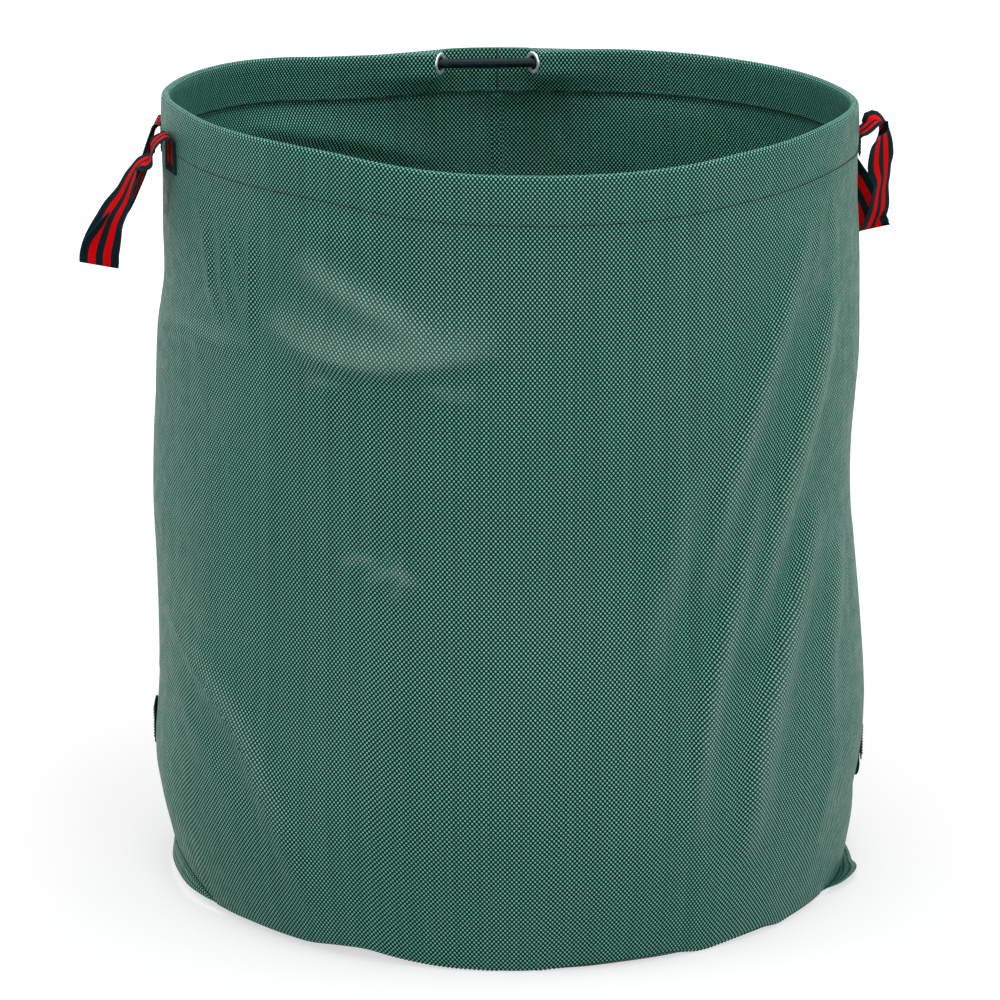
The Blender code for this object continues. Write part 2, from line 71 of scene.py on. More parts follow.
def smoothStep(x, low, high):
    # 0 below low, 1 above high, three t squared less two t cubed between
    t = np.clip((x - low) / (high - low), 0, 1)
    return t * t * (3 - 2 * t)


def unit(v):
    # each vector divided by its own length
    return v / np.maximum(np.linalg.norm(v, axis=-1, keepdims=True), 1e-12)


def roundPoint(radius, azimuth, height):
    # points (radius cos azimuth, radius sin azimuth, height), of any shapes that go together
    radius, azimuth, height = np.broadcast_arrays(radius, azimuth, height)
    return np.stack([radius * np.cos(azimuth), radius * np.sin(azimuth), height], axis=-1)


def turnFrom(azimuth, centre):
    # how far an azimuth lies from a centre in degrees, either way round, in radians
    return np.abs((azimuth - math.radians(centre) + np.pi) % (2 * np.pi) - np.pi)


def lengthAlong(points):
    # each point's distance from the first, along the line
    return np.concatenate([[0], np.cumsum(np.linalg.norm(np.diff(points, axis=0), axis=1))])


def readAlong(points, places, at):
    # a line of points known at rising places, read at other places
    return np.stack([np.interp(at, places, points[:, k]) for k in range(3)], axis=-1)


def newObject(name, data):
    # an object for the data, in the scene
    made = bpy.data.objects.new(name, data)
    bpy.context.scene.collection.objects.link(made)
    return made


def gridPiece(name, points, uv, materials, closedRows=False, slotOf=None):
    # A smooth mesh on a grid (rows, columns, 3), closed round its columns. The uv grid has one more column,
    # and one more row where the rows close too. slotOf gives a face's material slot from its row and column.
    rows, columns = points.shape[:2]
    r, c = np.meshgrid(np.arange(rows if closedRows else rows - 1), np.arange(columns), indexing="ij")
    r, c = r.ravel(), c.ravel()
    rn, cn = (r + 1) % rows, (c + 1) % columns
    faces = np.stack([r * columns + c, r * columns + cn, rn * columns + cn, rn * columns + c], axis=1)
    mesh = bpy.data.meshes.new(name)
    mesh.from_pydata(points.reshape(-1, 3).tolist(), [], faces.tolist())
    corners = np.stack([uv[r, c], uv[r, c + 1], uv[r + 1, c + 1], uv[r + 1, c]], axis=1)
    layer = mesh.uv_layers.new(name="UVMap")
    layer.data.foreach_set("uv", corners.reshape(-1).astype(np.float32))
    for made in materials:
        mesh.materials.append(made)
    if slotOf is not None:
        mesh.polygons.foreach_set("material_index", slotOf(r, c).astype(np.int32))
    mesh.shade_smooth()
    return newObject(name, mesh)


def faceOut(piece, closeEnds=False):
    # turns the faces outwards, after open ends are closed where asked
    body = bmesh.new()
    body.from_mesh(piece.data)
    if closeEnds:
        bmesh.ops.holes_fill(body, edges=[e for e in body.edges if len(e.link_faces) == 1], sides=0)
    bmesh.ops.recalc_face_normals(body, faces=body.faces)
    body.to_mesh(piece.data)
    body.free()
    return piece


def turnedPiece(name, profile, placement, made, steps=96):
    # a closed profile of (radius, height) points turned about +Z, then put in place
    angle = np.linspace(0, 2 * np.pi, steps, endpoint=False)
    profile = np.array(profile)
    points = np.stack([profile[:, :1] * np.cos(angle), profile[:, :1] * np.sin(angle),
                       np.repeat(profile[:, 1:], steps, axis=1)], axis=-1)
    m = np.array(placement)
    points = points @ m[:3, :3].T + m[:3, 3]
    u, v = np.meshgrid(np.linspace(0, 1, steps + 1), np.linspace(0, 1, len(profile) + 1))
    return faceOut(gridPiece(name, points, np.stack([u, v], axis=-1), [made], closedRows=True))


def roundedProfile(corners, radius, steps=4, sideShare=0.45):
    # a closed outline whose corners are quadratic curves, cut back by radius or a share of the shorter side
    corners = np.array(corners, float)
    out = []
    for i, p in enumerate(corners):
        a, b = corners[i - 1] - p, corners[(i + 1) % len(corners)] - p
        la, lb = np.linalg.norm(a), np.linalg.norm(b)
        cut = min(radius, la * sideShare, lb * sideShare)
        start, end = p + a / la * cut, p + b / lb * cut
        for t in np.linspace(0, 1, steps + 1):
            out.append((1 - t) ** 2 * start + 2 * t * (1 - t) * p + t * t * end)
    return np.array(out)


def addNode(tree, kind, inputs=(), **settings):
    # Adds a node with its settings and links, and returns its outputs. Inputs are a list, in order, or a
    # dictionary by name or number: a socket is linked, anything else is set as a value.
    node = tree.nodes.new("ShaderNode" + kind)
    for key, value in settings.items():
        setattr(node, key, value)
    for key, value in dict(inputs if isinstance(inputs, dict) else enumerate(inputs)).items():
        if isinstance(value, bpy.types.NodeSocket):
            tree.links.new(value, node.inputs[key])
        else:
            node.inputs[key].default_value = value
    return node.outputs


def newMaterial(name, **values):
    # a material with its shader's fixed values set
    made = bpy.data.materials.new(name)
    made.use_nodes = True
    shader = made.node_tree.nodes["Principled BSDF"]
    for key, value in values.items():
        shader.inputs[key.replace("_", " ")].default_value = value
    return made, made.node_tree


def linkShader(made, **values):
    # links what varies over the surface to the material's shader
    shader = made.node_tree.nodes["Principled BSDF"]
    for key, value in values.items():
        made.node_tree.links.new(value, shader.inputs[key.replace("_", " ")])
    return made


# one colour here and its share paint a sheen along the folds: paler tapes where light catches them
clothLook = {"green": "70D0B6", "greenDeep": "57B198", "greenPale": "86D6C2", "dark": "030607",
             "darkGreen": "081615", "sheenColour": "C9D6D2", "foldSheenShare": 0.13, "roughness": 0.46,
             "duller": 0.10, "shinier": 0.06, "edgeDrop": 0.9, "bump": 0.00025, "crumple": 0.0020,
             "tapeAcross": 0.00212, "tapeUp": 0.00248,  # metres from tape to tape
             # sizes in metres: paler patches of 200 mm, worn spots of 11 mm, crumples of 38 mm
             "patchSize": 1 / 5, "wornSize": 1 / 90, "crumpleSize": 1 / 26,
             "patchShare": 0.4, "greenShare": 0.45, "darkShare": 0.6}


def clothMaterial():
    # Woven polypropylene tape, green upright tapes over dark level ones, each about 2 mm wide. The eye gets
    # a fine check of light tapes and pits darkened by painted shade, a weak broad gloss, and paler tapes
    # along the folds, a painted sheen where light catches them. UV counts tapes.
    made, tree = newMaterial("woven_tape_cloth", Roughness=clothLook["roughness"], Specular_IOR_Level=0.12,
                             Sheen_Weight=0.03, Sheen_Roughness=0.35, Sheen_Tint=srgb("DDF0EA"))
    where = addNode(tree, "TexCoord")
    u, v = addNode(tree, "SeparateXYZ", [where["UV"]])[:2]
    tapeU = addNode(tree, "Math", [u], operation="FLOOR")[0]
    tapeV = addNode(tree, "Math", [v], operation="FLOOR")[0]

    def wave(along, tape):
        # sin(pi along) cos(pi tape), which rises over one crossing and dips under the next
        turnAlong = addNode(tree, "Math", [along, math.pi], operation="MULTIPLY")[0]
        turnTape = addNode(tree, "Math", [tape, math.pi], operation="MULTIPLY")[0]
        rise = addNode(tree, "Math", [turnAlong], operation="SINE")[0]
        order = addNode(tree, "Math", [turnTape], operation="COSINE")[0]
        return addNode(tree, "Math", [rise, order], operation="MULTIPLY")[0]

    def edgeDrop(across, power):
        # 0.9 x (distance from the tape's middle, 1 at its edge) to a power
        place = addNode(tree, "Math", [across], operation="FRACT")[0]
        off = addNode(tree, "Math", [place, 2.0, -1.0], operation="MULTIPLY_ADD")[0]
        away = addNode(tree, "Math", [off], operation="ABSOLUTE")[0]
        steep = addNode(tree, "Math", [away, power], operation="POWER")[0]
        return addNode(tree, "Math", [steep, clothLook["edgeDrop"]], operation="MULTIPLY")[0]

    levelWave = addNode(tree, "Math", [wave(u, tapeV), -1.0], operation="MULTIPLY")[0]
    upright = addNode(tree, "Math", [wave(v, tapeU), edgeDrop(u, 3.0)], operation="SUBTRACT")[0]
    level = addNode(tree, "Math", [levelWave, edgeDrop(v, 4.0)], operation="SUBTRACT")[0]
    height = addNode(tree, "Math", [upright, level], operation="MAXIMUM")[0]
    over = addNode(tree, "Math", [upright, level], operation="SUBTRACT")[0]
    isUpright = addNode(tree, "MapRange", [over, 0.10, 0.42, 0.0, 1.0], interpolation_type="SMOOTHSTEP")[0]

    def tapeColour(tape, share, a, b):
        # a colour that differs from tape to tape, at most a share of the way from a to b
        shade = addNode(tree, "TexWhiteNoise", {"W": tape}, noise_dimensions="1D")[0]
        shade = addNode(tree, "MapRange", [shade, 0.0, 1.0, 0.0, share], interpolation_type="SMOOTHSTEP")[0]
        return addNode(tree, "Mix", {0: shade, 6: srgb(a), 7: srgb(b)}, data_type="RGBA")[2]

    green = tapeColour(tapeU, clothLook["greenShare"], clothLook["green"], clothLook["greenDeep"])
    inputs = {"Vector": where["Object"], "Scale": 1 / clothLook["patchSize"], "Detail": 3.0}
    patches = addNode(tree, "TexNoise", inputs)[0]
    patches = addNode(tree, "MapRange", [patches, 0.35, 0.65, 0.0, clothLook["patchShare"]],
                      interpolation_type="SMOOTHSTEP")[0]
    green = addNode(tree, "Mix", {0: patches, 6: green, 7: srgb(clothLook["greenPale"])}, data_type="RGBA")[2]
    dark = tapeColour(tapeV, clothLook["darkShare"], clothLook["dark"], clothLook["darkGreen"])
    woven = addNode(tree, "Mix", {0: isUpright, 6: dark, 7: green}, data_type="RGBA")[2]
    # painted shade: the colour darkens with the weave's height, nearly black in the pits between tapes
    pitShade = addNode(tree, "MapRange", [height, -0.22, 0.74, 0.03, 1.0], interpolation_type="SMOOTHSTEP")[0]
    pitShade = addNode(tree, "CombineColor", [pitShade, pitShade, pitShade])[0]
    colour = addNode(tree, "Mix", {0: 1.0, 6: woven, 7: pitShade}, data_type="RGBA", blend_type="MULTIPLY")[2]
    # painted sheen: the tapes turn paler along the folds, where light catches them
    foldSheen = addNode(tree, "Attribute", attribute_name="foldSheen")["Fac"]
    foldSheen = addNode(tree, "Math", [foldSheen, clothLook["foldSheenShare"]], operation="MULTIPLY")[0]
    colour = addNode(tree, "Mix", {0: foldSheen, 6: colour, 7: srgb(clothLook["sheenColour"])}, data_type="RGBA")[2]
    inputs = {"Vector": where["Object"], "Scale": 1 / clothLook["wornSize"], "Detail": 3.0}
    worn = addNode(tree, "TexNoise", inputs)[0]
    shiny, dull = clothLook["roughness"] - clothLook["shinier"], clothLook["roughness"] + clothLook["duller"]
    gloss = addNode(tree, "MapRange", [worn, 0.3, 0.7, shiny, dull], interpolation_type="SMOOTHSTEP")[0]
    crumple = addNode(tree, "TexNoise", {"Vector": where["Object"], "Scale": 1 / clothLook["crumpleSize"],
                                         "Detail": 4.0, "Roughness": 0.55})[0]
    soft = addNode(tree, "Bump", {"Strength": 0.5, "Distance": clothLook["crumple"], "Height": crumple})[0]
    normal = addNode(tree, "Bump", {"Strength": 0.8, "Distance": clothLook["bump"], "Height": height,
                                    "Normal": soft})[0]
    return linkShader(made, Base_Color=colour, Roughness=gloss, Normal=normal)


# edge is a painted highlight colour for both edges; redDeep and darkDeep are painted shade for the ribs'
# valleys
webbingLook = {"red": "FF0206", "redDeep": "E00004", "dark": "0C2B33", "darkDeep": "061A20", "edge": "123B40",
               "ribPitch": 0.0011, "yarnPitch": 0.0009, "width": 0.038, "cutEnd": (0.0075, 0.0095),
               "stripes": ((0.215, 0.405), (0.595, 0.785)), "stripeSoft": 0.008, "wobble": 0.006,
               "wobblePitch": 1 / 900,  # the stripes' edges waver about every 1.1 mm of the length
               "ribs": 0.15, "shiftedRibs": 0.35, "yarns": 0.25, "bump": 0.0003}


def webbingMaterial():
    # Polyester webbing of a close warp rib: dull, nearly black green with two bright red stripes. The eye
    # gets clean stripes, fine ribs across them with painted shade in their valleys, a painted highlight along
    # both edges and a dark cut end. U runs 0 to 1 across it, V is its length in metres.
    made, tree = newMaterial("webbing_polyester", Roughness=0.9, Specular_IOR_Level=0.10)
    uv = addNode(tree, "TexCoord")["UV"]
    u, v = addNode(tree, "SeparateXYZ", [uv])[:2]
    inputs = {"Vector": uv, "Scale": 1 / webbingLook["wobblePitch"], "Detail": 1.0}
    wobble = addNode(tree, "TexNoise", inputs)[0]
    wobble = addNode(tree, "Math", [wobble, 0.5], operation="SUBTRACT")[0]
    across = addNode(tree, "Math", [wobble, webbingLook["wobble"], u], operation="MULTIPLY_ADD")[0]
    soft = webbingLook["stripeSoft"]
    stripes = []
    for left, right in webbingLook["stripes"]:
        rise = addNode(tree, "MapRange", [across, left - soft, left + soft, 0.0, 1.0],
                       interpolation_type="SMOOTHSTEP")[0]
        fall = addNode(tree, "MapRange", [across, right - soft, right + soft, 1.0, 0.0],
                       interpolation_type="SMOOTHSTEP")[0]
        stripes.append(addNode(tree, "Math", [rise, fall], operation="MULTIPLY")[0])
    # the first millimetres are the heat-cut end, melted dark
    unmelted = addNode(tree, "MapRange", [v, *webbingLook["cutEnd"], 0.0, 1.0],
                       interpolation_type="SMOOTHSTEP")[0]
    striped = addNode(tree, "Math", stripes, operation="ADD")[0]
    striped = addNode(tree, "Math", [striped, unmelted], operation="MULTIPLY")[0]
    # ribs across the length, broken by upright yarns: rib + rib shifted half a turn from yarn to yarn + yarn
    yarnCount = webbingLook["width"] / webbingLook["yarnPitch"]
    ribTurn = addNode(tree, "Math", [v, 2 * math.pi / webbingLook["ribPitch"]], operation="MULTIPLY")[0]
    yarnTurn = addNode(tree, "Math", [u, 2 * math.pi * yarnCount], operation="MULTIPLY")[0]
    halfYarn = addNode(tree, "Math", [u, 2 * yarnCount], operation="MULTIPLY")[0]
    halfYarn = addNode(tree, "Math", [halfYarn], operation="FLOOR")[0]
    shift = addNode(tree, "Math", [halfYarn, math.pi], operation="MULTIPLY")[0]
    shiftedTurn = addNode(tree, "Math", [ribTurn, shift], operation="ADD")[0]
    layers = []
    for turn, share in ((shiftedTurn, "shiftedRibs"), (ribTurn, "ribs"), (yarnTurn, "yarns")):
        ridges = addNode(tree, "Math", [turn], operation="SINE")[0]
        layers.append(addNode(tree, "Math", [ridges, webbingLook[share]], operation="MULTIPLY")[0])
    height = addNode(tree, "Math", layers[1:], operation="ADD")[0]
    height = addNode(tree, "Math", [layers[0], height], operation="ADD")[0]
    # painted shade: red and dark both turn to their deeper colour where the ribs sink
    raisedLit = addNode(tree, "MapRange", [height, -0.7, 0.6, 0.0, 1.0], interpolation_type="SMOOTHSTEP")[0]
    red, dark = [addNode(tree, "Mix", {0: raisedLit, 6: srgb(webbingLook[name + "Deep"]),
                                       7: srgb(webbingLook[name])}, data_type="RGBA")[2]
                 for name in ("red", "dark")]
    # painted highlight: a lighter teal strip along both edges
    leftEdge = addNode(tree, "MapRange", [u, 0.0, 0.05, 1.0, 0.0], interpolation_type="SMOOTHSTEP")[0]
    rightEdge = addNode(tree, "MapRange", [u, 0.95, 1.0, 0.0, 1.0], interpolation_type="SMOOTHSTEP")[0]
    edgeHighlight = addNode(tree, "Math", [leftEdge, rightEdge], operation="MAXIMUM")[0]
    edgeHighlight = addNode(tree, "Math", [edgeHighlight, 0.7], operation="MULTIPLY")[0]
    dark = addNode(tree, "Mix", {0: edgeHighlight, 6: dark, 7: srgb(webbingLook["edge"])}, data_type="RGBA")[2]
    colour = addNode(tree, "Mix", {0: striped, 6: dark, 7: red}, data_type="RGBA")[2]
    normal = addNode(tree, "Bump", {"Strength": 0.7, "Distance": webbingLook["bump"], "Height": height})[0]
    return linkShader(made, Base_Color=colour, Normal=normal)


# pattern sizes in metres: a turn of the thread 0.35 mm, scuffs 2.4 mm, handling 6 mm, strands 1.4 mm
trimLook = {"twistPitch": math.pi / 10 / 900, "scuffSize": 1 / 420, "handlingSize": 1 / 160,
            "strandSize": 1 / 700}


def threadMaterial():
    # Twisted polyester sewing thread, nearly black and dull. The eye gets thin dark lines with a faint twist,
    # its grooves darkened by painted shade.
    # The wave texture turns once in pi / 10 over its scale.
    made, tree = newMaterial("sewing_thread_dark", Roughness=0.6)
    inputs = {"Vector": addNode(tree, "TexCoord")["Object"], "Distortion": 1.5,
              "Scale": math.pi / 10 / trimLook["twistPitch"]}
    twist = addNode(tree, "TexWave", inputs, bands_direction="DIAGONAL")[1]
    # painted shade: the thread is darker in its twist's grooves, lighter on its ridges
    raisedLit = addNode(tree, "MapRange", [twist, 0.2, 0.8, 0.0, 1.0], interpolation_type="SMOOTHSTEP")[0]
    colour = addNode(tree, "Mix", {0: raisedLit, 6: srgb("020405"), 7: srgb("071716")}, data_type="RGBA")[2]
    normal = addNode(tree, "Bump", {"Strength": 0.5, "Distance": 0.0001, "Height": twist})[0]
    return linkShader(made, Base_Color=colour, Normal=normal)


def metalMaterial():
    # Pressed steel with a zinc plate dulled by its clear lacquer, so only partly a metal. The eye gets a pale
    # ring with broad highlights and light scuffs.
    made, tree = newMaterial("eyelet_zinc", Metallic=0.7, Roughness=0.40, Base_Color=srgb("F2F6F6"))
    where = addNode(tree, "TexCoord")["Object"]
    inputs = {"Vector": where, "Scale": 1 / trimLook["scuffSize"], "Detail": 4.0}
    scuff = addNode(tree, "TexNoise", inputs)[0]
    gloss = addNode(tree, "MapRange", [scuff, 0.35, 0.7, 0.30, 0.46], interpolation_type="SMOOTHSTEP")[0]
    worn = addNode(tree, "MapRange", [scuff, 0.5, 0.75, 0.0, 1.0], interpolation_type="SMOOTHSTEP")[0]
    colour = addNode(tree, "Mix", {0: worn, 6: srgb("F2F6F6"), 7: srgb("D5DCDD")}, data_type="RGBA")[2]
    normal = addNode(tree, "Bump", {"Strength": 0.15, "Distance": 0.0002, "Height": scuff})[0]
    return linkShader(made, Base_Color=colour, Roughness=gloss, Normal=normal)


def tubeMaterial():
    # Soft PVC tube, dark green and rubbed by hands. The eye gets a nearly black bar with a smeared highlight.
    made, tree = newMaterial("sleeve_pvc", Roughness=0.40, Base_Color=srgb("071A1E"),
                             Specular_IOR_Level=0.14)
    where = addNode(tree, "TexCoord")["Object"]
    inputs = {"Vector": where, "Scale": 1 / trimLook["handlingSize"], "Detail": 5.0}
    handling = addNode(tree, "TexNoise", inputs)[0]
    gloss = addNode(tree, "MapRange", [handling, 0.35, 0.7, 0.34, 0.50], interpolation_type="SMOOTHSTEP")[0]
    rubbed = addNode(tree, "MapRange", [handling, 0.4, 0.7, 0.0, 1.0], interpolation_type="SMOOTHSTEP")[0]
    colour = addNode(tree, "Mix", {0: rubbed, 6: srgb("071A1E"), 7: srgb("0F2B30")}, data_type="RGBA")[2]
    normal = addNode(tree, "Bump", {"Strength": 0.1, "Distance": 0.0003, "Height": handling})[0]
    return linkShader(made, Base_Color=colour, Roughness=gloss, Normal=normal)


def rodMaterial():
    # Drawn glass fibre in dark resin. The eye would get a dark rod with paler strands, but the hem hides it.
    made, tree = newMaterial("hoop_glass_fibre", Roughness=0.4, Base_Color=srgb("101617"))
    where = addNode(tree, "TexCoord")["Object"]
    inputs = {"Vector": where, "Scale": 1 / trimLook["strandSize"], "Detail": 2.0}
    strands = addNode(tree, "TexNoise", inputs)[0]
    colour = addNode(tree, "Mix", {0: strands, 6: srgb("0C1112"), 7: srgb("1F2A2B")}, data_type="RGBA")[2]
    return linkShader(made, Base_Color=colour)


cloth = clothMaterial()
webbing = webbingMaterial()
darkThread = threadMaterial()
zinc = metalMaterial()
tube = tubeMaterial()
rodFinish = rodMaterial()
print("materials made")

bag = {"rim": 0.335, "height": 0.760, "clothHalf": 0.00035, "hemHeight": 0.046, "hoop": 0.00365,
       "bulge": [(-0.03, -0.0050), (0.03, 0.0020), (0.065, 0.0080), (0.10, 0.0128), (0.14, 0.0160),
                 (0.20, 0.0149), (0.26, 0.0122), (0.32, 0.0091), (0.38, 0.0067), (0.46, 0.0058),
                 (0.53, 0.0051), (0.61, 0.0016), (0.714, 0.0), (0.80, 0.0)],
       "leftSwell": [(0.0, 0.0), (0.05, 0.001), (0.087, 0.0035), (0.13, 0.0025), (0.17, -0.001),
                     (0.25, -0.0005), (0.32, 0.003), (0.38, 0.0065), (0.44, 0.0055), (0.50, 0.0025),
                     (0.56, 0.0016), (0.60, -0.002), (0.65, 0.0), (0.80, 0.0)],
       "rightSwell": [(0.0, 0.0), (0.045, -0.001), (0.087, -0.004), (0.12, -0.0015), (0.18, 0.0005),
                      (0.25, -0.0005), (0.32, -0.003), (0.38, -0.0065), (0.44, -0.0065), (0.50, -0.002),
                      (0.57, 0.0), (0.64, 0.001), (0.70, 0.0), (0.80, 0.0)],
       "swellSides": (("leftSwell", 184.5), ("rightSwell", -4.5)), "swellPower": 6,
       "slowWaves": ((0.0016, 5, 6), (0.0010, 9, -9)),  # depth, then waves by azimuth and by height
       "flatSpots": ((172, 0.144), (8, 0.126)),  # under the lower handles: azimuth and height
       "flatReach": (0.085, 0.12), "flatRise": (0.03, 0.06), "calmFoot": 0.06, "calmHem": (0.020, 0.006),
       "columns": 372, "wallRows": 112, "meanRadius": 0.343, "blendFrom": 0.165}
hemBottom = bag["height"] - bag["hemHeight"]

# The long fold low at the left, from its left end down to the foot
lowFold = [(195.2, 0.300), (208, 0.265), (215.6, 0.237), (222.7, 0.203), (227.7, 0.156), (232.4, 0.102),
           (237.4, 0.020)]
# Folds: depth outwards, width on the left (or lower) side, width on the other, painted sheen, and the line as
# azimuth and height points, from the top down or from left to right. The painted sheen is how strongly the
# ridge's tapes are painted paler, where light catches the fold, and how wide on either side.
folds = [
    # right of the front, long slanting folds
    (0.0075, 0.012, 0.018, (0.75, 0.005, 0.010),
     [(326, 0.693), (323.6, 0.657), (319.8, 0.619), (312.4, 0.531), (306.4, 0.442), (301.5, 0.345)]),
    (0.0110, 0.013, 0.018, (1.00, 0.006, 0.012),
     [(336, 0.625), (325.8, 0.516), (318.9, 0.428), (313.1, 0.338), (310, 0.285)]),
    (0.0120, 0.012, 0.020, (1.00, 0.006, 0.014),
     [(329.5, 0.410), (325.1, 0.361), (318.4, 0.282), (313.2, 0.192), (310.2, 0.080)]),
    (0.0080, 0.009, 0.016, (0.80, 0.004, 0.010),
     [(313.3, 0.460), (308.6, 0.354), (304.0, 0.272), (300.7, 0.178), (299.5, 0.115)]),
    (0.0045, 0.013, 0.013, (0.50, 0.010, 0.010),
     [(300.5, 0.475), (297.7, 0.403), (294.1, 0.330), (292.8, 0.285)]),
    (0.0045, 0.012, 0.012, (0.70, 0.009, 0.009),
     [(339, 0.375), (334.7, 0.308), (331.5, 0.254), (332, 0.180)]),
    (0.0026, 0.014, 0.014, None, [(332.5, 0.175), (330.2, 0.116), (329.7, 0.045)]),
    (0.0020, 0.009, 0.011, None, [(327.5, 0.712), (328.8, 0.677), (326.0, 0.615)]),
    (0.0018, 0.008, 0.008, None, [(334.5, 0.712), (335.5, 0.670), (334, 0.635)]),
    # the ledge left of the middle and the small dents round it
    (0.0120, 0.010, 0.030, (1.20, 0.005, 0.026),
     [(228.5, 0.612), (231.6, 0.597), (240, 0.583), (249.5, 0.581), (259.2, 0.590), (268.7, 0.602)]),
    (0.0070, 0.012, 0.012, (1.00, 0.012, 0.012),
     [(234.5, 0.670), (240, 0.652), (247, 0.636), (253.1, 0.622), (257, 0.602)]),
    (0.0016, 0.005, 0.007, None, [(263.0, 0.632), (265.1, 0.618), (268.0, 0.598)]),
    (0.0026, 0.004, 0.007, (0.60, 0.003, 0.004), [(236.3, 0.557), (239.5, 0.554), (243.4, 0.553)]),
    (0.0026, 0.004, 0.007, None, [(245.0, 0.553), (247.6, 0.552), (250.4, 0.556)]),
    (0.0028, 0.004, 0.008, (0.60, 0.003, 0.004), [(256.9, 0.563), (260.8, 0.558), (265.2, 0.557)]),
    # gathers under the left handle
    (0.0032, 0.006, 0.003, None, [(225.6, 0.715), (224.8, 0.672), (224.6, 0.625), (225.1, 0.570)]),
    (0.0018, 0.006, 0.005, None, [(214.3, 0.715), (213.2, 0.695), (212.6, 0.675)]),
    (0.0036, 0.006, 0.005, None, [(209.5, 0.715), (212.2, 0.660), (213.5, 0.623), (216.5, 0.585)]),
    (0.0030, 0.006, 0.005, None, [(215.5, 0.715), (216.6, 0.664), (217.4, 0.627), (220.9, 0.585)]),
    (0.0030, 0.006, 0.005, None, [(217.3, 0.715), (220.1, 0.668), (222.1, 0.632), (223.4, 0.585)]),
    (0.0012, 0.004, 0.005, None, [(233.0, 0.690), (232.5, 0.660), (233.9, 0.630)]),
    (0.0007, 0.006, 0.006, None, [(230.0, 0.578), (230.4, 0.489), (229.0, 0.380)]),
    (0.0040, 0.006, 0.014, (0.70, 0.003, 0.008),
     [(186, 0.558), (202.6, 0.570), (213.0, 0.571), (225.5, 0.575)]),
    # low at the left
    (0.0070, 0.010, 0.016, None, lowFold),
    (0.0020, 0.010, 0.010, (0.50, 0.012, 0.012), [(196.5, 0.335), (205.4, 0.310), (215.1, 0.275)]),
    (0.0018, 0.008, 0.010, None, [(203.3, 0.220), (215.2, 0.167), (224.7, 0.108)]),
    # small dents in the middle
    (0.0012, 0.004, 0.005, (0.80, 0.003, 0.004), [(242.6, 0.384), (246.2, 0.393), (250.5, 0.387)]),
    (0.0012, 0.004, 0.005, (0.80, 0.003, 0.004), [(246.9, 0.373), (252.0, 0.384), (256.2, 0.373)]),
    (0.0012, 0.004, 0.004, (0.60, 0.003, 0.003), [(250.6, 0.406), (253.1, 0.383), (251.6, 0.358)]),
    (0.0008, 0.008, 0.008, None, [(263.4, 0.316), (271.5, 0.292), (279.6, 0.268)]),
    # inside the back
    (-0.0070, 0.018, 0.005, None,
     [(146, 0.709), (129.7, 0.683), (119.4, 0.670), (109.8, 0.654), (102.0, 0.641)]),
    (0.0120, 0.055, 0.030, None,
     [(87.0, 0.740), (89.0, 0.705), (89.7, 0.693), (88.3, 0.663), (86.7, 0.560)]),
    (0.0010, 0.003, 0.003, None, [(98.7, 0.735), (98.7, 0.685), (98.4, 0.600)]),
    (0.0008, 0.003, 0.003, None, [(99.6, 0.735), (99.6, 0.685), (99.3, 0.600)]),
    (0.0022, 0.010, 0.006, None, [(105.4, 0.730), (104.3, 0.676), (103.9, 0.600)]),
    (0.0018, 0.008, 0.008, None, [(83.0, 0.727), (81.0, 0.690), (79.0, 0.640)]),
    (0.0016, 0.006, 0.006, None, [(52.7, 0.712), (50.2, 0.695), (44.7, 0.665)]),
    # the sides and the back, out of the photograph's sight
    (0.0030, 0.018, 0.018, None, [(176, 0.640), (172, 0.480), (176, 0.330)]),
    (0.0050, 0.016, 0.020, (0.70, 0.006, 0.010), [(20, 0.650), (28, 0.480), (24, 0.300), (30, 0.150)]),
    (0.0040, 0.022, 0.018, None, [(48, 0.560), (60, 0.400), (58, 0.240)]),
    (0.0042, 0.014, 0.020, (0.60, 0.006, 0.008), [(118, 0.600), (110, 0.480), (120, 0.300)]),
    (0.0040, 0.020, 0.016, (0.60, 0.008, 0.006), [(146, 0.500), (138, 0.330), (142, 0.160)]),
    (0.0026, 0.012, 0.012, None, [(70, 0.640), (74, 0.560), (68, 0.440)]),
    (0.0024, 0.010, 0.010, None, [(156, 0.690), (152, 0.600), (158, 0.520)]),
    (0.0020, 0.010, 0.012, None, [(352, 0.690), (356, 0.600), (352, 0.500)]),
]
# the folds' painted sheen: paler tapes along the ridges, where light catches them
foldSheenMarks = [(*foldSheen, line) for *_, foldSheen, line in folds if foldSheen]
foldSheenMarks.append((0.60, 0.004, 0.010, lowFold[:-1]))

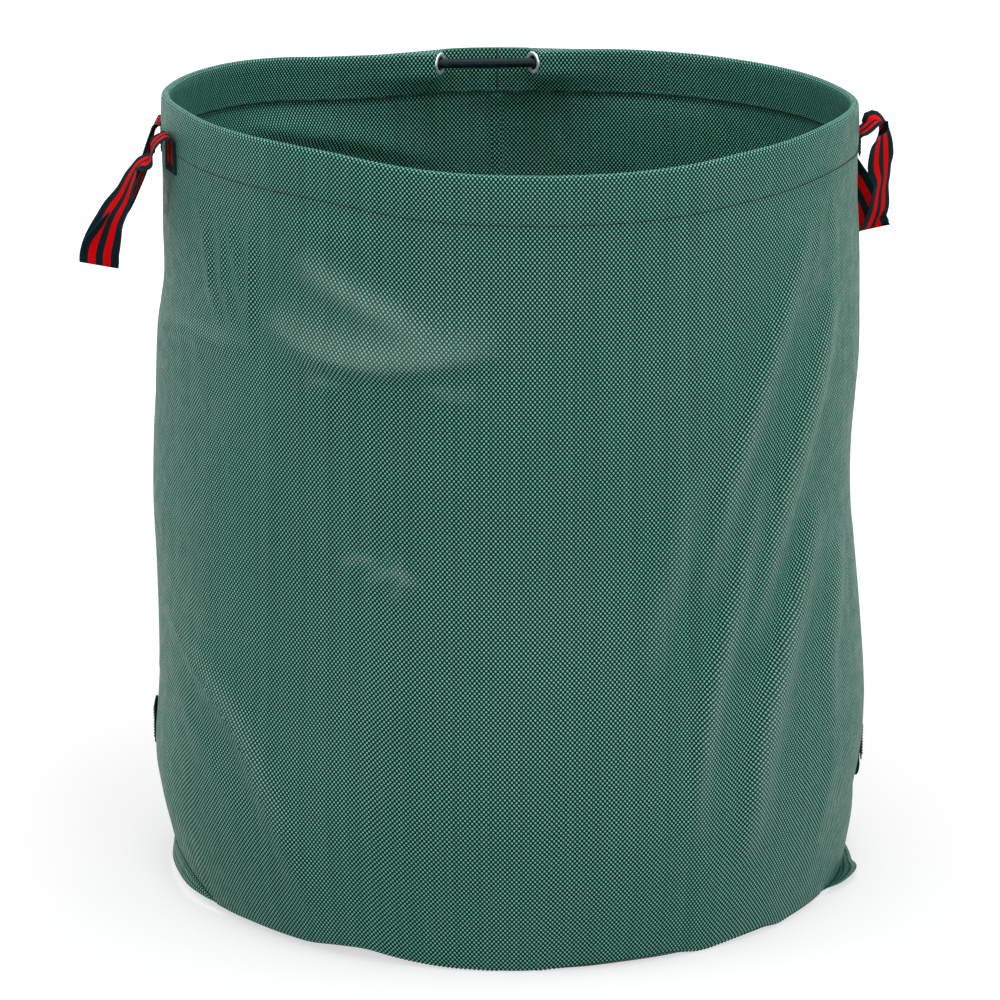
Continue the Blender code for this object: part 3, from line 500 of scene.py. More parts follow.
# Round the bag by azimuth: how far the mouth and the foot stand above their level places, in millimetres, how
# far out the seam lip reaches, in metres, and how far its edge dips under the foot, in millimetres
mouthRise = [(0, 9.0), (11, 6.4), (30, 5.8), (45, 5.0), (60, 4.0), (70, 2.6), (78, 0.6), (90, 0.3),
             (100, 0.3), (108, -1.2), (114, -1.6), (120, 0.0), (126, 2.4), (132, 6.0), (139, 9.5),
             (147, 12.3), (157, 14.3), (173, 16.5), (188, 20.5), (201, 22.0), (212, 19.3), (224, 17.0),
             (233, 15.5), (242, 12.3), (249, 7.5), (256, 3.6), (263, 1.2), (270, 0.2), (292, 0.0),
             (300, 1.8), (309, 5.6), (320, 8.6), (334, 12.6), (347, 12.5), (360, 9.0)]
footRise = [(0, 0.0), (20, 0.5), (90, 1.0), (150, 1.0), (165, 8.0), (175, 26.0), (186, 37.0), (193, 34.0),
            (197, 31.5), (200, 28.0), (203, 23.0), (205.4, 19.0), (207.7, 15.0), (210.5, 9.0), (214, 8.2),
            (222, 8.4), (230, 7.2), (235, 6.8), (240, 9.8), (246, 11.2), (250, 8.0), (255, 4.4), (260, 2.2),
            (265, 1.2), (270, 0.0), (273, 0.0), (278, 2.6), (285, 4.4), (292, 5.0), (297, 5.8), (300, 3.2),
            (303, 0.5), (307, 2.4), (313, 5.0), (317, 5.5), (321, 2.3), (325, 4.2), (331, 5.2), (337, 5.8),
            (344, 2.0), (350, 0.0), (360, 0.0)]
lipReach = [(0, 0.3400), (14, 0.3360), (60, 0.3345), (120, 0.3345), (165, 0.3370), (186, 0.3385),
            (205, 0.3375), (209, 0.3350), (213, 0.3290), (270, 0.3270), (328, 0.3280), (337, 0.3330),
            (342, 0.3430), (346, 0.3500), (350, 0.3500), (354, 0.3440), (360, 0.3400)]
lipDrop = [(0, -2.0), (20, 0.0), (150, 0.0), (165, 4.0), (175, 18.0), (186, 26.5), (193, 24.0), (197, 21.8),
           (200, 18.3), (203, 13.3), (205.4, 9.3), (207.7, 5.8), (210.5, 0.5), (214, -0.4), (337, -0.4),
           (342, -3.0), (346, -8.0), (350, -8.0), (354, -4.0), (360, -2.0)]


def riseAt(table, azimuth):
    # a table in millimetres by azimuth, read smoothly, in metres
    return smoothThrough(*zip(*table), np.degrees(azimuth) % 360) / 1000


def lifted(azimuth, height):
    # level height + foot rise x (1 - share of the way up) + mouth rise x share, the share eased
    azimuth, height = np.broadcast_arrays(azimuth, height)
    share = smoothStep(height, 0.0, hemBottom)
    return height + riseAt(footRise, azimuth) * (1 - share) + riseAt(mouthRise, azimuth) * share


ridge = {"reachWidths": 3.2, "fadePower": 0.6, "sidePower": 1.7, "rounding": 0.0012, "steps": 6}


def foldField(azimuth, height, lines):
    # How far the folds push the cloth out. Each is a ridge along its line: depth x fade x
    # exp(-(off / width)^1.7), where off is the rounded distance from the line and fade is sin(pi share)^0.6,
    # with the share of the line's length.
    total = np.zeros_like(azimuth)
    turn = 2 * np.pi * bag["rim"]
    s = azimuth % (2 * np.pi) * bag["rim"]
    for depth, low, high, *_, line in lines:
        line = np.array(line, float)
        known = np.column_stack([np.radians(line[:, 0]) * bag["rim"], line[:, 1]])
        steps = np.linspace(0, len(known) - 1, (len(known) - 1) * ridge["steps"] + 1)
        path = smoothThrough(np.arange(len(known)), known, steps)
        length = lengthAlong(path)
        reach = ridge["reachWidths"] * max(low, high)
        middle = path.mean(axis=0)[0]
        ds = (s - middle + turn / 2) % turn - turn / 2 + middle
        box = (ds > path[:, 0].min() - reach) & (ds < path[:, 0].max() + reach)
        box &= (height > path[:, 1].min() - reach) & (height < path[:, 1].max() + reach)
        p = np.column_stack([ds[box], height[box]])
        best = np.full(len(p), np.inf)
        side, along = np.zeros(len(p)), np.zeros(len(p))
        for i in range(len(path) - 1):
            a, d = path[i], path[i + 1] - path[i]
            t = np.clip((p - a) @ d / (d @ d), 0, 1)
            off = p - a - t[:, None] * d
            far = np.linalg.norm(off, axis=1)
            near = far < best
            best[near] = far[near]
            side[near] = np.sign(d[0] * off[near, 1] - d[1] * off[near, 0])
            along[near] = (length[i] + t[near] * (length[i + 1] - length[i])) / length[-1]
        width = np.where(side > 0, high, low)
        fade = np.sin(np.pi * np.clip(along, 0.0, 1.0)) ** ridge["fadePower"]
        rounded = np.sqrt(best**2 + ridge["rounding"] ** 2) - ridge["rounding"]
        total[box] += depth * fade * np.exp(-((rounded / width) ** ridge["sidePower"]))
    return total


shortCrease = {"seed": 11, "count": 170, "heights": (0.05, 0.70), "angles": [90, 90, 60, 115, 20, 160],
               "angleSpread": 14, "half": (0.012, 0.06), "width": (0.0025, 0.0075), "depth": (0.0003, 0.0010),
               "bend": 0.25, "reach": 0.03}


def smallCreases(azimuth, height):
    # Many short shallow creases, steep or slanting, as in cloth that has been folded away: each is
    # depth x exp(-(along / half)^4) x exp(-(off / width)^2) on a slightly bent line.
    rng = np.random.default_rng(shortCrease["seed"])
    total = np.zeros_like(azimuth)
    turn = 2 * np.pi * bag["rim"]
    s = azimuth % (2 * np.pi) * bag["rim"]
    for _ in range(shortCrease["count"]):
        cs, cz = rng.uniform(0, turn), rng.uniform(*shortCrease["heights"])
        angle = np.radians(rng.choice(shortCrease["angles"]) + rng.normal(0, shortCrease["angleSpread"]))
        half, width = rng.uniform(*shortCrease["half"]), rng.uniform(*shortCrease["width"])
        depth = rng.uniform(*shortCrease["depth"]) * rng.choice([-1, 1])
        ds = (s - cs + turn / 2) % turn - turn / 2
        reach = half + shortCrease["reach"]
        box = (np.abs(ds) < reach) & (np.abs(height - cz) < reach)
        x, y = ds[box], height[box] - cz
        along, off = x * np.cos(angle) + y * np.sin(angle), -x * np.sin(angle) + y * np.cos(angle)
        off = off + shortCrease["bend"] * along**2 / half
        total[box] += depth * np.exp(-((along / half) ** 4)) * np.exp(-((off / width) ** 2))
    return total


def wallRadius(azimuth, height):
    # The outer face of the wall cloth: rim radius + bulge by height + swell near either side + folds, creases
    # and slow waves, which die away at the foot, at the hem and under the lower handles.
    azimuth, height = np.broadcast_arrays(np.asarray(azimuth, float), np.asarray(height, float))
    radius = bag["rim"] + bag["clothHalf"] + smoothThrough(*zip(*bag["bulge"]), height)
    for key, centre in bag["swellSides"]:
        near = np.clip(np.cos(azimuth - np.radians(centre)), 0, 1) ** bag["swellPower"]
        radius = radius + near * smoothThrough(*zip(*bag[key]), height)
    below, above = bag["calmHem"]
    calm = smoothStep(height, 0.0, bag["calmFoot"])
    calm = calm * (1 - smoothStep(height, hemBottom - below, hemBottom + above))
    flat = np.zeros_like(azimuth)
    for centre, middle in bag["flatSpots"]:
        away = turnFrom(azimuth, centre) * bag["rim"]
        flat = np.maximum(flat, (1 - smoothStep(away, *bag["flatReach"]))
                          * (1 - smoothStep(np.abs(height - middle), *bag["flatRise"])))
    slow = sum(depth * np.cos(waves * azimuth + climb * height) for depth, waves, climb in bag["slowWaves"])
    loose = foldField(azimuth, height, folds) + smallCreases(azimuth, height) + slow
    return radius + loose * calm * (1 - flat)


# the hoop's joint at the back, with its eyelets, as the frame has it
joint = {"azimuth": 94.4, "sleeveRadiusOut": 0.3165, "sleeveHeight": 0.7480, "sleeveLength": 0.104,
         "sleeveDiameter": 0.010, "sleeveBore": 0.0068, "sleeveRound": 0.0009, "rod": 0.0056, "fold": 0.008,
         "eyeletSpacing": 0.097, "eyeletTurn": 30.0, "eyelet": 0.0235, "hole": 0.0144, "barrel": 0.0006,
         "cutGap": 0.0003, "cutDepth": 0.016, "patchHalf": 0.0124, "tentFade": 0.020, "flatDepth": 0.0022,
         "joinsRimAt": 30.0}
turnOut = math.radians(joint["eyeletTurn"])
stepReach, stepDepth = joint["patchHalf"] * math.sin(turnOut), joint["patchHalf"] * math.cos(turnOut)
innerEdge = np.array([joint["eyeletSpacing"] / 2 - stepReach, joint["sleeveRadiusOut"] + stepDepth])
outerEdge = np.array([joint["eyeletSpacing"] / 2 + stepReach, joint["sleeveRadiusOut"] - stepDepth])
innerOffset, outerOffset = math.atan2(*innerEdge), math.atan2(*outerEdge)
planeReach = math.cos(turnOut) * joint["eyeletSpacing"] / 2 + math.sin(turnOut) * joint["sleeveRadiusOut"]


def hoopRadius(offset):
    # the hoop's middle line: straight through the sleeve, then a Hermite bend out to the rim, then round
    straightEnd = math.atan((joint["sleeveLength"] / 2 + joint["fold"] / 2) / joint["sleeveRadiusOut"])
    rimEnd = math.radians(joint["joinsRimAt"])
    far, near = bag["rim"] - bag["hoop"], joint["sleeveRadiusOut"] / math.cos(straightEnd)
    slope = near * math.tan(straightEnd) * (rimEnd - straightEnd)
    t = np.clip((offset - straightEnd) / (rimEnd - straightEnd), 0, 1)
    bend = (2 * t**3 - 3 * t**2 + 1) * near + (t**3 - 2 * t**2 + t) * slope + (3 * t**2 - 2 * t**3) * far
    straight = joint["sleeveRadiusOut"] / np.cos(np.minimum(offset, straightEnd))
    return np.where(offset < straightEnd, straight, bend)


def toRim(offset):
    # 0 at the joint, 1 where the hoop has joined the rim's circle, eased between
    return smoothStep(offset, outerOffset, math.radians(joint["joinsRimAt"]))


def hemDepth(offset):
    # depth of the hem's inner face: flat behind the sleeve and under each eyelet, then the hoop's pocket
    innerDepth, outerDepth = bag["rim"] - np.linalg.norm(innerEdge), bag["rim"] - np.linalg.norm(outerEdge)
    behind = joint["flatDepth"] + (innerDepth - joint["flatDepth"]) * (offset / innerOffset) ** 2
    patch = bag["rim"] - planeReach / np.sin(offset + turnOut)
    tent = outerDepth - (bag["rim"] - hoopRadius(np.array(outerOffset)) + bag["hoop"])
    fade = np.exp(-(offset - outerOffset) * bag["rim"] / joint["tentFade"])
    pocket = bag["rim"] - hoopRadius(offset) + bag["hoop"] + tent * fade
    return np.where(offset < innerOffset, behind, np.where(offset < outerOffset, patch, pocket))


def jointPlace():
    # the joint's own axes: +X along the sleeve and +Y outwards, turned to its azimuth
    return Matrix.Rotation(math.radians(joint["azimuth"] - 90), 4, "Z")


def eyeletPlace(side):
    # an eyelet's centre on its patch, with +Z along its bore towards the bag's middle
    face = Vector((-side * math.cos(turnOut), -math.sin(turnOut), 0))
    centre = Vector((side * joint["eyeletSpacing"] / 2, joint["sleeveRadiusOut"], joint["sleeveHeight"]))
    return jointPlace() @ Matrix.Translation(centre) @ face.to_track_quat("Z", "Y").to_matrix().to_4x4()


seam = {"azimuth": 92.35, "half": 0.0052, "thick": 0.0005, "foot": 0.006, "hemGap": 0.001, "rows": 110,
        "lean": 0.06, "leanFade": 0.2, "sunkOutside": 0.0001, "sunkInside": 0.0002, "threadHalf": 0.14,
        # places across as shares of half its width, and how far each stands up: the thread lies in the middle
        "across": (-1.0, -0.97, -0.9, -0.5, -0.10, -0.035, 0.0, 0.035, 0.10, 0.5, 0.9, 0.97, 1.0),
        "lift": (0.25, 0.8, 1.0, 1.05, 1.0, 0.75, 0.12, 0.75, 1.0, 1.05, 1.0, 0.8, 0.25)}
backColumns = {"reach": 34.0, "step": 0.5, "edgeHalf": 0.0006, "edgeClear": 0.0025, "threadClear": 0.002}


def bagColumns():
    # azimuths of the skin's columns: close together at the back, with columns on the edges of the eyelets'
    # patches and beside the seam's thread, and wider apart round the rest
    def withColumns(columns, wanted, clear):
        kept = columns[np.min(np.abs(columns[:, None] - wanted), axis=1) > clear]
        return np.sort(np.concatenate([kept, wanted]))

    near = np.radians(np.arange(-backColumns["reach"], backColumns["reach"] + 0.01, backColumns["step"]))
    halves = (-backColumns["edgeHalf"], backColumns["edgeHalf"])
    edges = np.array([s * a + d for s in (-1, 1) for a in (innerOffset, outerOffset) for d in halves])
    near = withColumns(near, edges, backColumns["edgeClear"])
    seamTurn = seam["azimuth"] - joint["azimuth"]
    thread = np.radians([seamTurn - seam["threadHalf"], seamTurn + seam["threadHalf"]])
    near = withColumns(near, thread, backColumns["threadClear"])
    rest = np.linspace(near[-1], near[0] + 2 * np.pi, bag["columns"] - len(near) + 2)[1:-1]
    return np.concatenate([near, rest]) + math.radians(joint["azimuth"])


lip = {"floorGap": 0.0009, "inset": 0.0022, "ripple": 0.0005, "ripples": 23, "least": 0.0002,
       "shares": (0.0, 0.3, 0.6, 0.85)}


def footPlace(azimuth):
    # middle of the cloth where the wall meets the seam lip: radius and height
    height = lip["floorGap"] + np.maximum(riseAt(footRise, azimuth), 0.0)
    return wallRadius(azimuth, height) - bag["clothHalf"] - lip["inset"], height


def lipPlace(azimuth, share, off=0.0):
    # share 1 is the wall's foot and 0 the lip's free edge, off is the distance out of the cloth
    footR, footZ = footPlace(azimuth)
    edgeR = smoothThrough(*zip(*lipReach), np.degrees(azimuth) % 360)
    edgeR = edgeR + lip["ripple"] * np.cos(lip["ripples"] * azimuth)
    edgeZ = np.maximum(footZ - riseAt(lipDrop, azimuth), lip["floorGap"])
    dr, dz = edgeR - footR, edgeZ - footZ
    size = np.maximum(np.hypot(dr, dz), 1e-6)
    normalR, normalZ = -dz / size, dr / size
    height = np.maximum(footZ + dz * (1 - share) + normalZ * off, lip["least"])
    return roundPoint(footR + dr * (1 - share) + normalR * off, azimuth, height)


# one of these sets how much of the mouth's rise is taken off the height where the folds' painted sheen is
# read
skin = {"footRows": (0.04, 0.16, 0.38, 0.68), "footZone": 0.02, "tuck": 0.0020, "tuckFade": 0.005,
        "footLift": 0.0003, "sheenLift": 0.5}
hem = {"outerRows": 9, "topGap": 0.0004, "flatCrown": 0.22, "puckers": ((0.0007, 61, 0), (0.0005, 37, 1)),
       "puckerFade": 0.012, "pinch": 0.0007, "pinchShare": 0.03, "puff": 0.0008, "crownStep": 15,
       # the inner face, up and then down from the patches' low edge: share of the way, share of the depth
       "upper": ((1.0, 1.0), (0.75, 0.97), (0.5, 0.86), (0.25, 0.68)),
       "lower": ((0.0, 1.0), (0.25, 0.74), (0.5, 0.47), (0.75, 0.24), (0.92, 0.1)), "slack": 0.48,
       "innerPucker": 0.5, "innerFade": 0.02, "turnUnder": ((1.9, 0.0006), (1.5, 0.0))}


def wallRows(azimuth, levels, footZ, inwards=0.0, footLift=0.0):
    # one face of the wall at each level, drawn in by a short curve where it meets the seam lip
    rows = []
    for level in levels:
        z = lifted(azimuth, level)
        if level < skin["footZone"]:
            z = np.maximum(z, footZ)
        tuck = skin["tuck"] * np.exp(-((z - footZ) / skin["tuckFade"]) ** 2)
        rows.append(roundPoint(wallRadius(azimuth, z) - inwards - tuck, azimuth, z + footLift * (level == 0)))
    return rows


def hemRows(azimuth, rise):
    # the hem's outer face, its crown over the hoop, and its inner face, as three lists of rows
    half, thick = bag["clothHalf"], 2 * bag["clothHalf"]
    offset = turnFrom(azimuth, joint["azimuth"])
    rim, depth = toRim(offset), hemDepth(offset)
    patchTop = joint["sleeveHeight"] + joint["patchHalf"]
    top = patchTop + hem["topGap"] + (bag["height"] - patchTop) * rim + rise
    crown = bag["hoop"] * (hem["flatCrown"] + (1 - hem["flatCrown"]) * rim)
    bottom, shoulder = hemBottom + rise, top - crown
    lowEdge = joint["sleeveHeight"] - joint["patchHalf"] + rise
    pucker = sum(size * np.cos(azimuth * count + phase) for size, count, phase in hem["puckers"])
    outer, over, inner = [], [], []
    for share in np.linspace(0, 1, hem["outerRows"])[1:]:
        pull = pucker * np.exp(-share * bag["hemHeight"] / hem["puckerFade"])
        pull = pull - hem["pinch"] * np.exp(-((share - hem["pinchShare"]) / hem["pinchShare"]) ** 2)
        radius = bag["rim"] + half + pull + hem["puff"] * np.sin(np.pi * share)
        outer.append(roundPoint(radius, azimuth, bottom + (shoulder - bottom) * share))
    for angle in np.radians(np.arange(hem["crownStep"], 180, hem["crownStep"])):
        over.append(roundPoint(bag["rim"] + half - (depth + thick) * (1 - math.cos(angle)) / 2, azimuth,
                               shoulder + (crown + half) * math.sin(angle)))
    # by the eyelets the inner face stays flat down to the patch's low edge, elsewhere it hugs the hoop
    for share, hug in hem["upper"]:
        radius = bag["rim"] - half - depth * (1 + (hug - 1) * rim)
        inner.append(roundPoint(radius, azimuth, lowEdge + (shoulder - lowEdge) * share))
    for share, keep in hem["lower"]:
        pull = hem["innerPucker"] * pucker * np.exp(-(1 - share) * bag["hemHeight"] / hem["innerFade"])
        radius = bag["rim"] - half - depth * keep * (1 - hem["slack"] * rim) - thick - pull
        inner.append(roundPoint(radius, azimuth, lowEdge + (bottom - lowEdge) * share))
    for layers, lift in hem["turnUnder"]:
        inner.append(roundPoint(bag["rim"] - half - layers * thick, azimuth, bottom + lift))
    return outer, over, inner


def cutEyeletHoles(piece):
    # a hole through the hem for each eyelet's barrel
    radius = joint["hole"] / 2 + joint["barrel"] + joint["cutGap"]
    for side in (-1, 1):
        body = bmesh.new()
        bmesh.ops.create_cone(body, cap_ends=True, segments=64, radius1=radius, radius2=radius,
                              depth=joint["cutDepth"])
        cutter = newObject("eyelet_cutter", bpy.data.meshes.new("eyelet_cutter"))
        body.to_mesh(cutter.data)
        body.free()
        cutter.matrix_world = eyeletPlace(side)
        cut = piece.modifiers.new("hole", "BOOLEAN")
        cut.object, cut.solver = cutter, "EXACT"
        bpy.context.view_layer.objects.active = piece
        bpy.ops.object.modifier_apply(modifier=cut.name)
        bpy.data.objects.remove(cutter)


def buildBag():
    # one skin: the seam lip, the wall's outside, the hem over the hoop, the wall's inside and the lip again
    azimuth = bagColumns()
    half = bag["clothHalf"]
    rise = riseAt(mouthRise, azimuth)
    levels = hemBottom * np.linspace(0, 1, bag["wallRows"] + 1)
    footRows = len(skin["footRows"])
    levels[1:footRows + 1] = levels[footRows + 1] * np.array(skin["footRows"])
    footZ = footPlace(azimuth)[1]
    rows = [lipPlace(azimuth, share, half) for share in lip["shares"]]
    rows += wallRows(azimuth, levels, footZ)
    outer, over, inner = hemRows(azimuth, rise)
    threadFrom = len(rows) + len(outer) + 3  # the seam's thread shows from a little over the hem's crown
    rows += outer + over + inner
    threadTo = len(rows)
    rows += wallRows(azimuth, levels[::-1], footZ, 2 * half, skin["footLift"])
    rows += [lipPlace(azimuth, share, -half) for share in lip["shares"][::-1]]
    points = np.stack(rows)
    # UV counts tapes: level tapes by length up the skin, upright ones by azimuth
    steps = np.linalg.norm(np.diff(points, axis=0), axis=2).mean(axis=1)
    v = np.concatenate([[0], np.cumsum(steps)]) / clothLook["tapeUp"]
    v = np.append(v, v[-1] + 0.3)  # across the lip's cut edge
    tapesAround = round(2 * math.pi * bag["meanRadius"] / clothLook["tapeAcross"])
    u = np.append(azimuth, azimuth[0] + 2 * np.pi) / (2 * np.pi) * tapesAround
    uv = np.stack(np.broadcast_arrays(u[None, :], v[:, None]), axis=-1)
    threadAt = np.abs(azimuth - math.radians(seam["azimuth"] - seam["threadHalf"]))
    threadColumn = int(np.argmin(threadAt))
    dark = lambda r, c: (c == threadColumn) & (r > threadFrom) & (r < threadTo)
    piece = faceOut(gridPiece("bag_cloth", points, uv, [cloth, darkThread], closedRows=True, slotOf=dark))
    # painted sheen: a share of paler colour along the folds, kept on the vertices
    where = np.broadcast_arrays(azimuth, points[:, :, 2] - skin["sheenLift"] * rise)
    layer = piece.data.attributes.new("foldSheen", "FLOAT", "POINT")
    layer.data.foreach_set("value", np.clip(foldField(*where, foldSheenMarks), 0, 1).ravel().astype(np.float32))
    cutEyeletHoles(piece)
    print("bag cloth", len(piece.data.vertices), "points")
    return piece


bagCloth = buildBag()
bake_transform(bagCloth)
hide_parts("wall_lower", "wall_upper", "rim_hem")

disc = {"rings": 46, "hole": 0.0012, "firstRing": 0.010, "lastRing": 0.318,
        "edgeRings": (0.3225, 0.3260, 0.3280), "columns": 192, "seed": 5,
        "swell": 0.0012, "swellReach": 0.3, "swellFrom": (0.05, 0.25),
        "wrinkles": 46, "wrinkleHalf": (0.03, 0.12), "wrinkleWidth": (0.004, 0.010),
        "wrinkleHeight": (0.0006, 0.0022), "calmFrom": (0.300, 0.318), "climbFrom": (0.262, 0.326),
        "top": 0.0009, "under": 0.0002, "underShare": 0.97}


def buildBase():
    # The base cloth, a disc of rings: swell + wrinkles, each height x exp(-(along / half)^2) x
    # exp(-(off / width)^2), flat towards its edge, where it climbs to the wall's foot.
    rings = np.linspace(disc["firstRing"], disc["lastRing"], disc["rings"])
    rings = np.concatenate([[disc["hole"]], rings, disc["edgeRings"]])
    azimuth = np.linspace(0, 2 * np.pi, disc["columns"], endpoint=False)
    r, a = np.meshgrid(rings, azimuth, indexing="ij")
    rng = np.random.default_rng(disc["seed"])
    reach = disc["swellReach"]
    lift = disc["swell"] * (1 + np.cos(3 * a + 9 * r / reach)) * smoothStep(r, *disc["swellFrom"])
    for _ in range(disc["wrinkles"]):
        cx, cy = rng.uniform(-reach, reach, 2)
        angle, half = rng.uniform(0, np.pi), rng.uniform(*disc["wrinkleHalf"])
        width = rng.uniform(*disc["wrinkleWidth"])
        x, y = r * np.cos(a) - cx, r * np.sin(a) - cy
        along, off = x * np.cos(angle) + y * np.sin(angle), -x * np.sin(angle) + y * np.cos(angle)
        height = rng.uniform(*disc["wrinkleHeight"])
        lift += height * np.exp(-((along / half) ** 2)) * np.exp(-((off / width) ** 2))
    lift *= 1 - smoothStep(r, *disc["calmFrom"])
    lift += (footPlace(a)[1] - lip["floorGap"]) * smoothStep(r, *disc["climbFrom"])
    under = roundPoint(r, a, disc["under"] + lift * disc["underShare"])[::-1]
    points = np.concatenate([roundPoint(r, a, disc["top"] + lift), under])
    flat = points[:, :, :2]
    closed = np.concatenate([flat, flat[:, :1]], axis=1)
    uv = closed / np.array([clothLook["tapeAcross"], clothLook["tapeUp"]])
    piece = faceOut(gridPiece("base_cloth", points, uv, [cloth]), closeEnds=True)
    piece.data.shade_smooth()
    return piece


baseCloth = buildBase()
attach(baseCloth, "base")
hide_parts("base_panel")


def buildRearSeam():
    # the seam's two allowances, pressed open on the wall's inside, with a line of dark thread between them
    heights = np.linspace(seam["foot"], hemBottom - seam["hemGap"], seam["rows"])
    across, lift = np.array(seam["across"]), np.array(seam["lift"])
    z = np.broadcast_to(heights[:, None], (len(heights), len(across)))
    below = hemBottom - z
    lean = seam["lean"] * below * np.exp(-((below / seam["leanFade"]) ** 2))
    a = math.radians(seam["azimuth"]) + across * seam["half"] / bag["rim"] - lean
    inside = wallRadius(a, z) - 2 * bag["clothHalf"]
    face = inside - seam["sunkOutside"] - lift * seam["thick"]
    back = (inside + seam["sunkInside"])[:, ::-1]
    points = np.concatenate([roundPoint(face, a, z), roundPoint(back, a[:, ::-1], z)], axis=1)
    columns = np.concatenate([across, across[::-1], across[:1]])
    u = columns[None, :] * seam["half"] / clothLook["tapeAcross"]
    v = heights[:, None] / clothLook["tapeUp"]
    uv = np.stack(np.broadcast_arrays(u, v), axis=-1)
    middle = int(np.argmin(np.abs(across)))
    thread = lambda r, c: (c == middle - 1) | (c == middle)
    piece = gridPiece("rear_seam_cloth", points, uv, [cloth, darkThread], slotOf=thread)
    return faceOut(piece, closeEnds=True)


rearSeam = buildRearSeam()
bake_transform(rearSeam)
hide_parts("rear_seam_lower", "rear_seam_upper")

stitch = {"along": (0.0, 0.12, 0.35, 0.65, 0.88, 1.0), "swell": (0.30, 0.8, 1.0, 1.0, 0.8, 0.30),
          "arch": (-0.5, 0.05, 0.35, 0.35, 0.05, -0.5), "sides": 6}
hemSewing = {"pitch": 0.0036, "gap": 0.0005, "thread": 0.0011, "stations": 720, "outerStand": 0.0006,
             "outerUp": 0.0013, "innerStand": 0.0023, "innerDepth": 0.03, "innerUp": 0.0020}
lipSewing = {"pitch": 0.0042, "gap": 0.0007, "thread": 0.0010, "share": 0.90, "stand": 0.0002,
             "least": 0.0012}
boxSewing = {"pitch": 0.0030, "gap": 0.0005, "thread": 0.0007, "steps": 10}


def stitchPiece(name, lines, sewing):
    # Short stitches along lines of (points, outward directions, closed). Each is a row of rings: their
    # middles are the line + outward x arch x thread and their radii are swell x half the thread, so that
    # both its ends sink.
    sides, rings = stitch["sides"], len(stitch["along"])
    share, swell = np.array(stitch["along"]), np.array(stitch["swell"]) * sewing["thread"] / 2
    arch, gap = np.array(stitch["arch"]) * sewing["thread"], sewing["gap"] / sewing["pitch"]
    angle = np.linspace(0, 2 * np.pi, sides, endpoint=False)[:, None]
    vertices, faces, base = [], [], 0
    for points, outward, closed in lines:
        if closed:
            points, outward = np.vstack([points, points[:1]]), np.vstack([outward, outward[:1]])
        length = lengthAlong(points)
        count = max(1, int(round(length[-1] / sewing["pitch"])))
        at = (np.arange(count)[:, None] + 0.5 * gap + share * (1 - gap)) * length[-1] / count
        centre, normal = readAlong(points, length, at), unit(readAlong(outward, length, at))
        sidewards = unit(np.cross(normal, unit(np.gradient(centre, axis=1))))
        middles = centre + normal * arch[None, :, None]
        spokes = sidewards[:, :, None] * np.cos(angle) + normal[:, :, None] * np.sin(angle)
        vertices.append((middles[:, :, None] + swell[None, :, None, None] * spokes).reshape(-1, 3))
        n, k = np.arange(count)[:, None, None], np.arange(rings - 1)[None, :, None]
        first, s = base + (n * rings + k) * sides, np.arange(sides)
        turned = (s + 1) % sides
        quads = np.broadcast_arrays(first + s, first + turned, first + sides + turned, first + sides + s)
        faces += np.stack(quads, axis=-1).reshape(-1, 4).tolist()
        ends = base + np.arange(count)[:, None] * rings * sides
        faces += (ends + s[::-1]).tolist()
        faces += (ends + (rings - 1) * sides + s).tolist()
        base += count * rings * sides
    mesh = bpy.data.meshes.new(name)
    mesh.from_pydata(np.vstack(vertices).tolist(), [], faces)
    mesh.materials.append(darkThread)
    mesh.shade_smooth()
    return faceOut(newObject(name, mesh))


def ringLine(azimuth, radius, height, outwards):
    # a closed line round the bag for stitches, facing out of the bag (1) or into it (-1)
    return roundPoint(radius, azimuth, height), roundPoint(outwards, azimuth, 0.0), True


around = np.linspace(0, 2 * np.pi, hemSewing["stations"], endpoint=False)
hemLevel = hemBottom + riseAt(mouthRise, around)
pocketDepth = hemDepth(turnFrom(around, joint["azimuth"]))
innerRadius = bag["rim"] - hemSewing["innerStand"] - hemSewing["innerDepth"] * pocketDepth
hemLine = [ringLine(around, bag["rim"] + hemSewing["outerStand"], hemLevel + hemSewing["outerUp"], 1.0),
           ringLine(around, innerRadius, hemLevel + hemSewing["innerUp"], -1.0)]
hemStitches = stitchPiece("hem_stitches", hemLine, hemSewing)
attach(hemStitches, "rim")
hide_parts("hem_stitching")

lipOuter = lipPlace(around, lipSewing["share"], bag["clothHalf"] + lipSewing["stand"])
lipOuter[:, 2] = np.maximum(lipOuter[:, 2], lipSewing["least"])
lipOut = unit(lipOuter - lipPlace(around, lipSewing["share"]))
lipStitches = stitchPiece("lip_stitches", [(lipOuter, lipOut, True)], lipSewing)
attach(lipStitches, "base")
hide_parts("base_stitching")
print("cloth and stitches made")

# profiles of the eyelet and its washer: heights over the cloth's middle, and steps in radius
eyelet = {"back": -0.0015, "seat": 0.0006, "edge": 0.0014, "edgeIn": 0.0004, "crown": 0.0021,
          "crownOut": 0.001, "collar": 0.0017, "mouth": 0.0010, "round": 0.0006}
washer = {"gap": 0.0003, "top": -0.0006, "back": -0.0014, "backIn": 0.0006, "topIn": 0.0004, "round": 0.0003}


